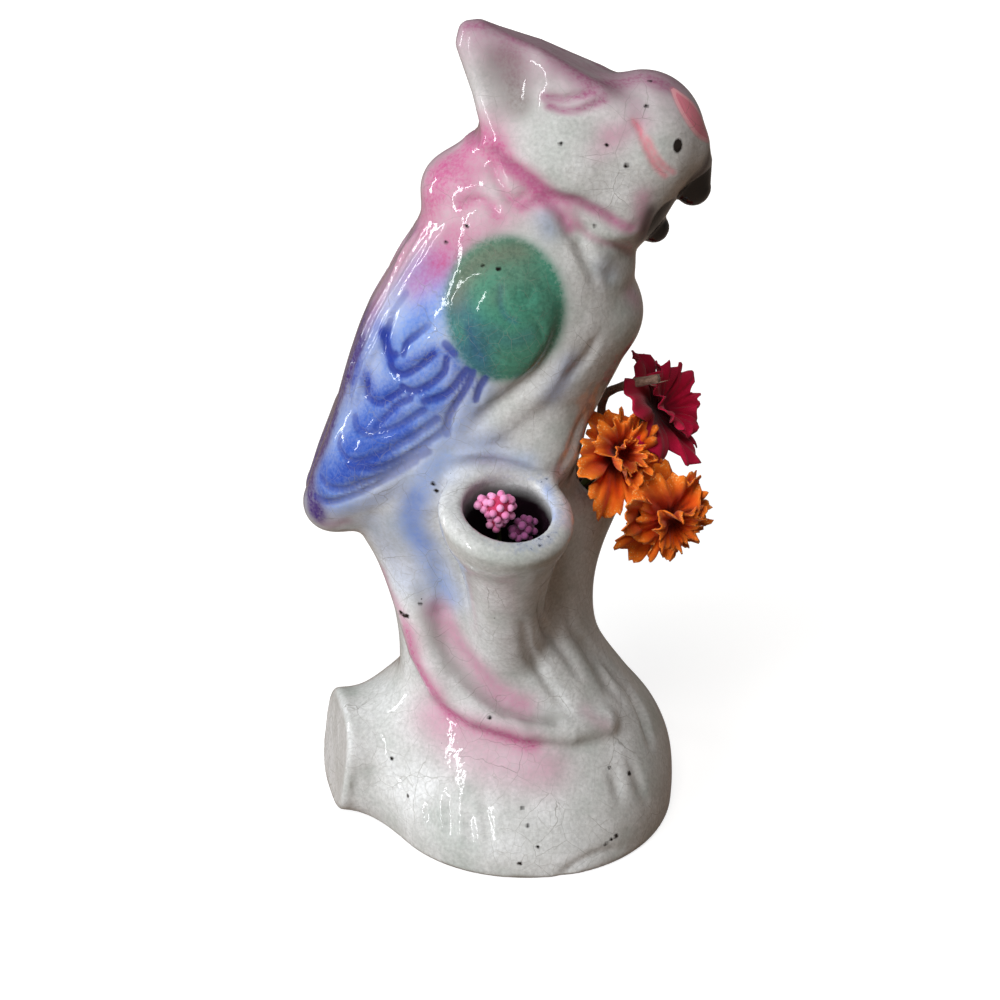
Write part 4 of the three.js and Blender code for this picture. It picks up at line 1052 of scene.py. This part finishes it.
def cloth(name, centre, middle, tip, glitter_glint):
    """Polyester satin, stamped and heat crimped: fine threads and sheen, dyed darker towards the centre of
    each disc and deepened there as painted shade between the petals; glitter flecks near the tips are painted
    pale gold, partly as their glints.
    """
    material, tree, shader, here = start(name, 0.55, Specular_IOR_Level=0.25, Sheen_Weight=0.12)
    flat = put(tree, "Attribute", attribute_name="flat").outputs["Vector"]
    across = put(tree, "SeparateXYZ", {0: flat}).outputs[2]
    stain = noise(tree, here, 3.0, 4.0, 0.7)
    run = calc(tree, "MULTIPLY_ADD", stain, 0.7, -0.35)
    run = calc(tree, "ADD", run, across)
    colour_ramp = put(tree, "ValToRGB", {0: run}, stops=((0.18, centre), (0.58, middle), (0.98, tip)))
    warp, weft = (put(tree, "TexWave", {"Vector": flat, "Scale": WAVE_PER_THREAD / THREAD, "Distortion": 0.4,
                                        "Detail": 1.0}, bands_direction=way).outputs[1] for way in ("X", "Y"))
    weave = calc(tree, "ADD", warp, weft)
    shade = remap(tree, weave, 0.0, 2.0, 0.82, 1.1)
    colour = mix(tree, 1.0, colour_ramp, shade, "MULTIPLY")
    # Glitter flecks near the tips, painted pale gold: partly their colour, partly painted glints.
    if glitter_glint:
        grit = put(tree, "TexVoronoi", {"Vector": here, "Scale": PER_MM / 0.5})
        bright = remap(tree, grit.outputs["Distance"], 0.34, 0.24)
        zone = remap(tree, run, 0.8, 1.1)
        bright = calc(tree, "MULTIPLY", bright, zone)
        colour = mix(tree, bright, colour, tone(glitter_glint))
    bump = relief(tree, weave, 0.6, 0.03)
    feed(tree, shader, {"Base Color": colour, "Normal": bump})
    return material


# The first colour of each cloth, at the centre of its discs, is deepened into painted shade between the
# petals.
orange = cloth("orange_polyester_cloth", "#7A1804", "#DC4C0C", "#F27C22", "#F8CE84")
crimson = cloth("crimson_polyester_cloth", "#620318", "#A60C2E", "#BE1A42", None)
print("cloths dyed")

# %% Make a bloom
CLOTH_THICK = 0.25
HEADS = {       # centre of each flower head and the way it faces
    "upper_bloom": ((23.7, -4.0, 79.4), (0.30, -0.86, 0.42)),
    "lower_bloom": ((33.9, -4.8, 65.2), (0.35, -0.93, 0.10)),
    "red_bloom": ((32.0, 8.4, 83.6), (0.72, -0.36, 0.58))}


def head_frame(name):
    """The centre and the axes of a flower head: across, up and forwards."""
    centre, facing = HEADS[name]
    forward = unit(facing)
    across = unit(np.cross((0, 0, 1), forward))
    return np.asarray(centre, float), np.stack([across, np.cross(forward, across), forward])


def bloom(name, wide, tall, layers, material):
    """One object for each disc, sized wide by tall and standing on the bloom's wire."""
    origin, axes = head_frame(name)
    for label, lift, look in layers:
        points, flat = cloth_disc(**look)
        local = np.concatenate([points.reshape(-1, 3), [[0, 0, 0]]]) * (wide, tall, 1) + (0, 0, lift)
        faces = wind(*points.shape[:2], inward=True)[:2]
        mesh = make_mesh(f"{name}_{label}_cloth", origin + local @ axes, faces)
        store(mesh, "flat", *np.concatenate([flat.reshape(-1, 3), [[0, 0, 0]]]).T)
        piece = place(mesh, "posy", f"{name}_{label}_petals", material)
        wall = piece.modifiers.new("cloth", "SOLIDIFY")
        wall.thickness, wall.offset = CLOTH_THICK * MM, 0


# %% Three blooms
bloom("upper_bloom", 0.94, 1.12, [
    ("outer", -2.2, dict(seed=11, reach=12.8, lobes=7, slit=0.55, tips=0.22, cut_power=6, bend=(8, 40, -12),
                         turn=0.05, crimp=2.6, lean=(0.22, 215))),
    ("middle", -0.7, dict(seed=12, reach=10.6, lobes=6, slit=0.5, tips=0.22, cut_power=6, bend=(12, 58, 14),
                          turn=0.08, crimp=2.3, lean=(0.12, 170))),
    ("inner", 0.8, dict(seed=13, reach=8.2, lobes=5, slit=0.45, tips=0.24, cut_power=6, bend=(6, 70, 46),
                        turn=0.1, crimp=1.6))], orange)
bloom("lower_bloom", 1.04, 1.06, [
    ("outer", -2.2, dict(seed=21, reach=12.6, lobes=8, slit=0.7, tips=0.22, cut_power=5, bend=(5, 28, -12),
                         turn=0.03, crimp=2.6, lean=(0.4, 135))),
    ("middle", -0.7, dict(seed=22, reach=10.6, lobes=7, slit=0.64, tips=0.22, cut_power=5, bend=(10, 40, 0),
                          turn=0.05, crimp=2.6, lean=(0.4, 130))),
    ("inner", 0.8, dict(seed=23, reach=8.2, lobes=6, slit=0.6, tips=0.24, cut_power=5, bend=(18, 52, 24),
                        turn=0.06, crimp=2.2, lean=(0.2, 125)))], orange)
bloom("red_bloom", 1.0, 1.1, [
    ("outer", -1.0, dict(seed=31, reach=12.2, lobes=8, slit=0.55, tips=0.0, cut_power=6, bend=(5, 24, -14),
                         turn=0.06, crimp=2.0, lean=(0.5, 165))),
    ("inner", 0.6, dict(seed=32, reach=9.6, lobes=7, slit=0.5, tips=0.0, cut_power=6, bend=(12, 44, 12),
                        turn=0.08, crimp=1.9))], crimson)

# %% [markdown]
# ## Stems, calyces and the cut stalk
#
# The flower heads are pushed on wires with a moulded plastic calyx behind each. A tube is a circle
# carried along a smooth path; its radius may change on the way. The stalk is a paper straw whose end
# is torn into fibres.

# %% Tubes and turned pieces
def tube(points, radius, sides=10, spacing=0.8):
    """Points and faces of a closed tube; radius is one number or a function of the share run."""
    path = smooth_line(points, spacing)
    forward = np.gradient(path, axis=0)
    forward /= np.linalg.norm(forward, axis=1)[:, None]
    first = unit(np.cross(forward, (0.31, 0.9, 0.1)).mean(0))
    u = first - (forward @ first)[:, None] * forward
    u /= np.linalg.norm(u, axis=1)[:, None]
    v = np.cross(forward, u)
    a = np.arange(sides) * 2 * np.pi / sides
    size = radius(np.linspace(0, 1, len(path))) if callable(radius) else np.full(len(path), radius)
    ring = np.cos(a)[None, :, None] * u[:, None] + np.sin(a)[None, :, None] * v[:, None]
    skin_points = (path[:, None] + ring * size[:, None, None]).reshape(-1, 3)
    return np.concatenate([skin_points, path[:1], path[-1:]]), wind(len(path), sides)


def join(parts):
    """Several (points, faces) as one."""
    points, faces, base = [], [], 0
    for p, f in parts:
        points.append(p)
        faces += [g + base for g in f]
        base += len(p)
    return np.concatenate(points), faces


# %% Plastic and straw
green_plastic, tree, shader, here = start("moulded_green_plastic", 0.45, Coat_Weight=0.1)
mottle = noise(tree, here, 1.4, 3.0)
greens = put(tree, "ValToRGB", {0: mottle}, stops=((0.0, "#3E4F22"), (1.0, "#77864A")))
ribs = relief(tree, mottle, 0.5, 0.05)
feed(tree, shader, {"Base Color": greens, "Normal": ribs})

straw, tree, shader, here = start("dry_brown_straw", 0.8, Sheen_Weight=0.2)
fibre_grain = put(tree, "Mapping", {0: here, 3: (1.0, 4.0, 1.6)})
fibre = noise(tree, fibre_grain, 1.2, 4.0, 0.7)
browns = put(tree, "ValToRGB", {0: fibre}, stops=((0.3, "#5A4036"), (0.7, "#A98C7C")))
rough = relief(tree, fibre, 0.8, 0.12)
feed(tree, shader, {"Base Color": browns, "Normal": rough})
print("plastic and straw ready")

# %% Stems and calyces
PULL = np.array([math.sin(math.radians(40)), 0, math.cos(math.radians(40))])
STEM_IN, STEM_R, GAP, PETAL_THICK = 15.5, 0.7, 0.35, 0.6
CALYX_LONG, CALYX_R, CALYX_FLARE, CALYX_HOLLOW = 4.4, 1.25, 1.35, 0.9


def rooted(point):
    """The straight run of a stem inside the branch, along the pull."""
    return [tuple(np.asarray(point) + PULL * STEM_IN * t) for t in (0, 0.5, 1)]


def calyx(sepals=6, rows=18, around=36):
    """A turned cup, radius by height, whose rim rises into sepals as a cosine of the angle."""
    h = np.linspace(0, 1, rows)[:, None]
    a = np.arange(around) * 2 * np.pi / around
    r = CALYX_R + CALYX_FLARE * np.sin(np.pi / 2 * h) ** 1.6 + 0.12 * np.cos(sepals * a) * h
    z = -CALYX_LONG + (CALYX_LONG - 0.35 + 0.3 * np.cos(sepals * a)) * h
    body = np.stack([r * np.cos(a), r * np.sin(a), z], 2).reshape(-1, 3)
    return np.concatenate([body, [[0, 0, -CALYX_LONG], [0, 0, -CALYX_HOLLOW]]]), wind(rows, around)


for name, root, over, lift in (
        ("upper_bloom", (10.17, 6.93, 56.2), [(20.9, 5.0, 72.6)], -2.2),
        ("lower_bloom", (7.86, 6.75, 56.87), [(23.0, 7.4, 76.0), (28.4, 6.9, 73.6)], -2.2),
        ("red_bloom", (10.71, 9.58, 55.92), [], -1.0)):
    origin, axes = head_frame(name)
    foot = lift - PETAL_THICK / 2 - GAP
    points, faces = calyx()
    mesh = make_mesh(f"{name}_cup", origin + (points + (0, 0, foot)) @ axes, faces)
    place(mesh, "posy", f"{name}_calyx", green_plastic)
    behind = [tuple(origin + axes[2] * (foot - CALYX_LONG - GAP - d)) for d in (2.5, 0)]
    points, faces = tube(rooted(root) + over + behind, lambda s: STEM_R * (0.94 + 0.06 * np.sin(90 * s)))
    place(make_mesh(f"{name}_wire", points, faces), "posy", f"{name}_stem", green_plastic)
print("three calyces and stems")

# %% Cut stalk with torn fibres
STALK = rooted((8.5, 8.99, 56.59)) + [(19.7, 9.0, 75.0), (20.1, 6.8, 82.0), (20.9, 4.6, 88.4),
                                      (25.0, 2.0, 91.6), (30.8, -0.4, 94.0)]
STALK_R, FIBRES, FIBRE_R = 0.9, 9, 0.11
rng = np.random.default_rng(5)
parts = [tube(STALK, lambda s: STALK_R * (1 + 0.06 * np.sin(37 * s) + 0.04 * np.sin(91 * s)),
              sides=16, spacing=0.5)]
tip = np.array(STALK[-1])
run = unit(tip - np.array(STALK[-2]))
for _ in range(FIBRES):
    a = rng.uniform(0, 2 * np.pi)
    side_way = unit(np.cross(run, (math.cos(a), math.sin(a), 0.3)))
    root = tip - run * rng.uniform(0.2, 2.5) + side_way * 0.7
    end = root + run * rng.uniform(1.2, 2.8) + side_way * rng.uniform(0.0, 0.7)
    parts.append(tube([root, (root + end) / 2 + side_way * 0.15, end],
                      lambda s: FIBRE_R * (1 - 0.8 * s), sides=5, spacing=0.4))
points, faces = join(parts)
place(make_mesh("torn_stalk", points, faces), "posy", "cut_stalk", straw)
print("stalk with", len(parts) - 1, "fibres")

# %% [markdown]
# ## Foam berries
#
# A berry sprig is a ball of glue and wire rolled in dyed foam pips about 1.6 mm across. The pips are
# small spheres, each a grid of longitude and latitude, set round a few overlapping cores by the
# golden angle, which spaces points evenly on a sphere.

# %% Pips
def pips(cores, size, seed):
    """Centres of pips round each core, less those that fall inside another core."""
    rng = np.random.default_rng(seed)
    centres = []
    for centre, radius, count in cores:
        up = 1 - (np.arange(count) * 2 + 1) / count
        a = np.arange(count) * math.pi * (3 - math.sqrt(5)) + rng.uniform(0, 6)
        ring = np.sqrt(1 - up ** 2)
        p = np.asarray(centre) + radius * np.stack([ring * np.cos(a), ring * np.sin(a), up], 1)
        p += rng.normal(0, 0.12, p.shape)
        clear = np.all([np.linalg.norm(p - np.asarray(c), axis=1) > r - 0.2 * size
                        for c, r, _ in cores if c != centre] or [np.full(count, True)], axis=0)
        centres.append(p[clear])
    return np.concatenate(centres)


def spheres(centres, sizes, rows=7, around=10):
    """A sphere at each centre, as one set of points and faces with closed poles."""
    h = np.linspace(0, np.pi, rows + 2)[1:-1]
    a = np.arange(around) * 2 * np.pi / around
    shell = np.stack([np.sin(h)[:, None] * np.cos(a), np.sin(h)[:, None] * np.sin(a),
                      np.cos(h)[:, None] + 0 * a], 2).reshape(-1, 3)
    shell = np.concatenate([shell, [[0, 0, 1], [0, 0, -1]]])
    shift = (np.arange(len(centres)) * len(shell))[:, None, None]
    points = (centres[:, None] + shell[None] * sizes[:, None, None]).reshape(-1, 3)
    return points, [(f[None] + shift).reshape(-1, f.shape[1]) for f in wind(rows, around, inward=True)]


def foam(name, light, mid, dark):
    """Expanded foam pips, dyed in bulk: matt, with each pip a little lighter or darker."""
    material, tree, shader, here = start(name, 0.6, Sheen_Weight=0.2)
    tint = put(tree, "Attribute", attribute_name="tint").outputs["Fac"]
    dots = noise(tree, here, 0.25, 2.0)
    mixed = calc(tree, "MULTIPLY_ADD", dots, 0.25, tint)
    colour_ramp = put(tree, "ValToRGB", {0: mixed}, stops=((0.1, dark), (0.55, mid), (1.0, light)))
    bump = relief(tree, dots, 0.5, 0.05)
    feed(tree, shader, {"Base Color": colour_ramp, "Normal": bump})
    return material


PIP, CORE_SUNK = 0.8, 0.25       # radius of a pip, and how far a core stays inside its pips
pink_foam = foam("pink_foam_pips", "#F6A5D2", "#E57FB4", "#B92C55")
plum_foam = foam("plum_foam_pips", "#A0588C", "#87416F", "#5A1F45")
for name, cores, material, seed in (
        ("large_berries", [((-0.1, -20.2, 76.0), 2.7, 26), ((-3.2, -20.0, 76.6), 1.1, 8),
                           ((-0.9, -20.9, 73.2), 1.3, 10)], pink_foam, 3),
        ("small_berries", [((5.0, -18.8, 70.9), 1.9, 14), ((3.2, -19.4, 70.2), 1.2, 8)], plum_foam, 4)):
    rng = np.random.default_rng(seed)
    centres = pips(cores, PIP, seed)
    cores_points = np.array([c for c, _, _ in cores])
    sizes = PIP * rng.uniform(0.9, 1.08, len(centres))
    all_centres = np.concatenate([centres, cores_points])
    all_sizes = np.concatenate([sizes, [r - CORE_SUNK for _, r, _ in cores]])
    points, faces = spheres(all_centres, all_sizes)
    mesh = make_mesh(f"{name}_sprig", points, faces)
    tint = np.concatenate([rng.uniform(0.35, 0.95, len(centres)), np.full(len(cores), 0.0)])
    store(mesh, "tint", np.repeat(tint, len(points) // len(all_centres)))
    place(mesh, "berries", name, material)
    print(name, len(centres), "pips")

# %% Wires of the sprigs
CUP_FLOOR = 20
PIP_WIRE_R = 0.45
floor_point = np.array(CUP["top"]) + unit(CUP["axis"]) * (GAP + PIP_WIRE_R / 2 - CUP_FLOOR)
for name, centre, core, side in (("large_berries", (-0.6, -20.0, 75.5), 3.3, -0.9),
                                 ("small_berries", (5.0, -18.8, 70.9), 1.9, 1.3)):
    root = floor_point + (side, 0, 0)
    way = unit(np.asarray(centre) - root)
    end = np.asarray(centre) - way * (core * 0.6)
    points, faces = tube([root, (root + end) / 2, end], PIP_WIRE_R, sides=8)
    mesh = make_mesh(f"{name}_stalk", points, faces)
    place(mesh, "berries", f"{name}_wire", green_plastic)
print("two berry wires")

# %% [markdown]
# ## Floor and light
#
# The bird was photographed beside a window on dark furniture and then cut out onto white. The camera
# therefore sees a white table with a soft shadow, while the light that the table sends back up is that
# of brown wood. The light is a window with a thin curtain on the left, the narrow gap beside the curtain
# and a second narrow window on the far left, which draw thin streaks on the glaze, a pale ceiling
# over the camera, the dim far half of the room behind and a weak warm glow on the right.

# %% Floor
FLOOR_HALF = 1.6
NEAR_WHITE, FAR_WHITE, MIRRORED_WHITE = 0.8, 1.0, 0.08
SHADOW_OUT, ALL_WHITE_OUT = 0.2, 0.7        # metres from the stump where the white starts to rise and is full
floor_mesh = bpy.data.meshes.new("table")
floor_mesh.from_pydata([(-FLOOR_HALF, -FLOOR_HALF, 0), (FLOOR_HALF, -FLOOR_HALF, 0),
                        (FLOOR_HALF, FLOOR_HALF, 0), (-FLOOR_HALF, FLOOR_HALF, 0)], [], [(0, 1, 2, 3)])
table = bpy.data.objects.new("table", floor_mesh)
bpy.context.scene.collection.objects.link(table)
wood, tree, shader, here = start("table_top", 0.7, Specular_IOR_Level=0.0)
rays = put(tree, "LightPath")
seen, mirrored = rays.outputs["Is Camera Ray"], rays.outputs["Is Glossy Ray"]
top = mix(tree, seen, tone("#7C6552"), tone("#AEAEAE"))
away = put(tree, "VectorMath", {0: here}, operation="LENGTH")
lift = remap(tree, away, SHADOW_OUT, ALL_WHITE_OUT, NEAR_WHITE, FAR_WHITE)
lift = calc(tree, "MULTIPLY", lift, seen)
lift = calc(tree, "MULTIPLY_ADD", mirrored, MIRRORED_WHITE, lift)
feed(tree, shader, {"Base Color": top, "Emission Color": (1, 1, 1, 1), "Emission Strength": lift})
floor_mesh.materials.append(wood)
print("table", 2 * FLOOR_HALF, "m wide")

# %% World
world = bpy.data.worlds.new("room")
bpy.context.scene.world = world
world.use_nodes = True
tree = world.node_tree
tree.nodes.clear()
rays = put(tree, "LightPath")
seen = calc(tree, "MAXIMUM", rays.outputs["Is Camera Ray"], rays.outputs["Is Transmission Ray"])
seen = calc(tree, "MULTIPLY_ADD", rays.outputs["Is Glossy Ray"], MIRRORED_WHITE, seen, clamp=True)
room = put(tree, "Background", {"Color": (1.0, 0.92, 0.84, 1), "Strength": 0.05})
backdrop = put(tree, "Background", {"Color": (1, 1, 1, 1), "Strength": 1.0})
both = put(tree, "MixShader", {0: seen, 1: room, 2: backdrop})
put(tree, "OutputWorld", {0: both})
print("room and backdrop")


# %% Lamps
AIM = np.array([0, 0, 0.08])


def lamp(name, at, watts, size, colour, mirrored=True):
    """A soft rectangular light, aimed at the bird; a veiled one isn't seen in the glaze."""
    data = bpy.data.lights.new(name, "AREA")
    data.shape, data.size, data.size_y = "RECTANGLE", size[0], size[1]
    data.energy, data.color = watts, colour
    light = bpy.data.objects.new(name, data)
    light.location = at
    aim = AIM - np.array(at)
    light.rotation_euler = (math.acos(-aim[2] / np.linalg.norm(aim)), 0,
                            math.atan2(aim[0], -aim[1]) + math.pi)
    light.visible_glossy = mirrored
    bpy.context.scene.collection.objects.link(light)


lamp("veiled_window", (-0.72, -0.62, 0.42), 8.4, (0.5, 0.6), (0.94, 0.98, 1.0), mirrored=False)
lamp("window_gap", (-0.66, -0.66, 0.42), 1.3, (0.045, 0.5), (0.96, 0.98, 1.0))
lamp("far_window", (-0.86, 0.2, 0.3), 1.8, (0.07, 0.5), (0.96, 0.98, 1.0))
lamp("pale_ceiling", (-0.1, -0.5, 0.85), 4.3, (0.4, 0.4), (1.0, 0.97, 0.94), mirrored=False)
lamp("back_room", (0.15, 0.85, 0.45), 1.5, (0.5, 0.5), (1.0, 0.95, 0.9), mirrored=False)
lamp("warm_room", (0.7, -0.45, 0.2), 0.15, (0.5, 0.6), (1.0, 0.74, 0.54))
print("six lamps")

# %% Finish
bpy.context.scene.view_settings.view_transform = "Standard"
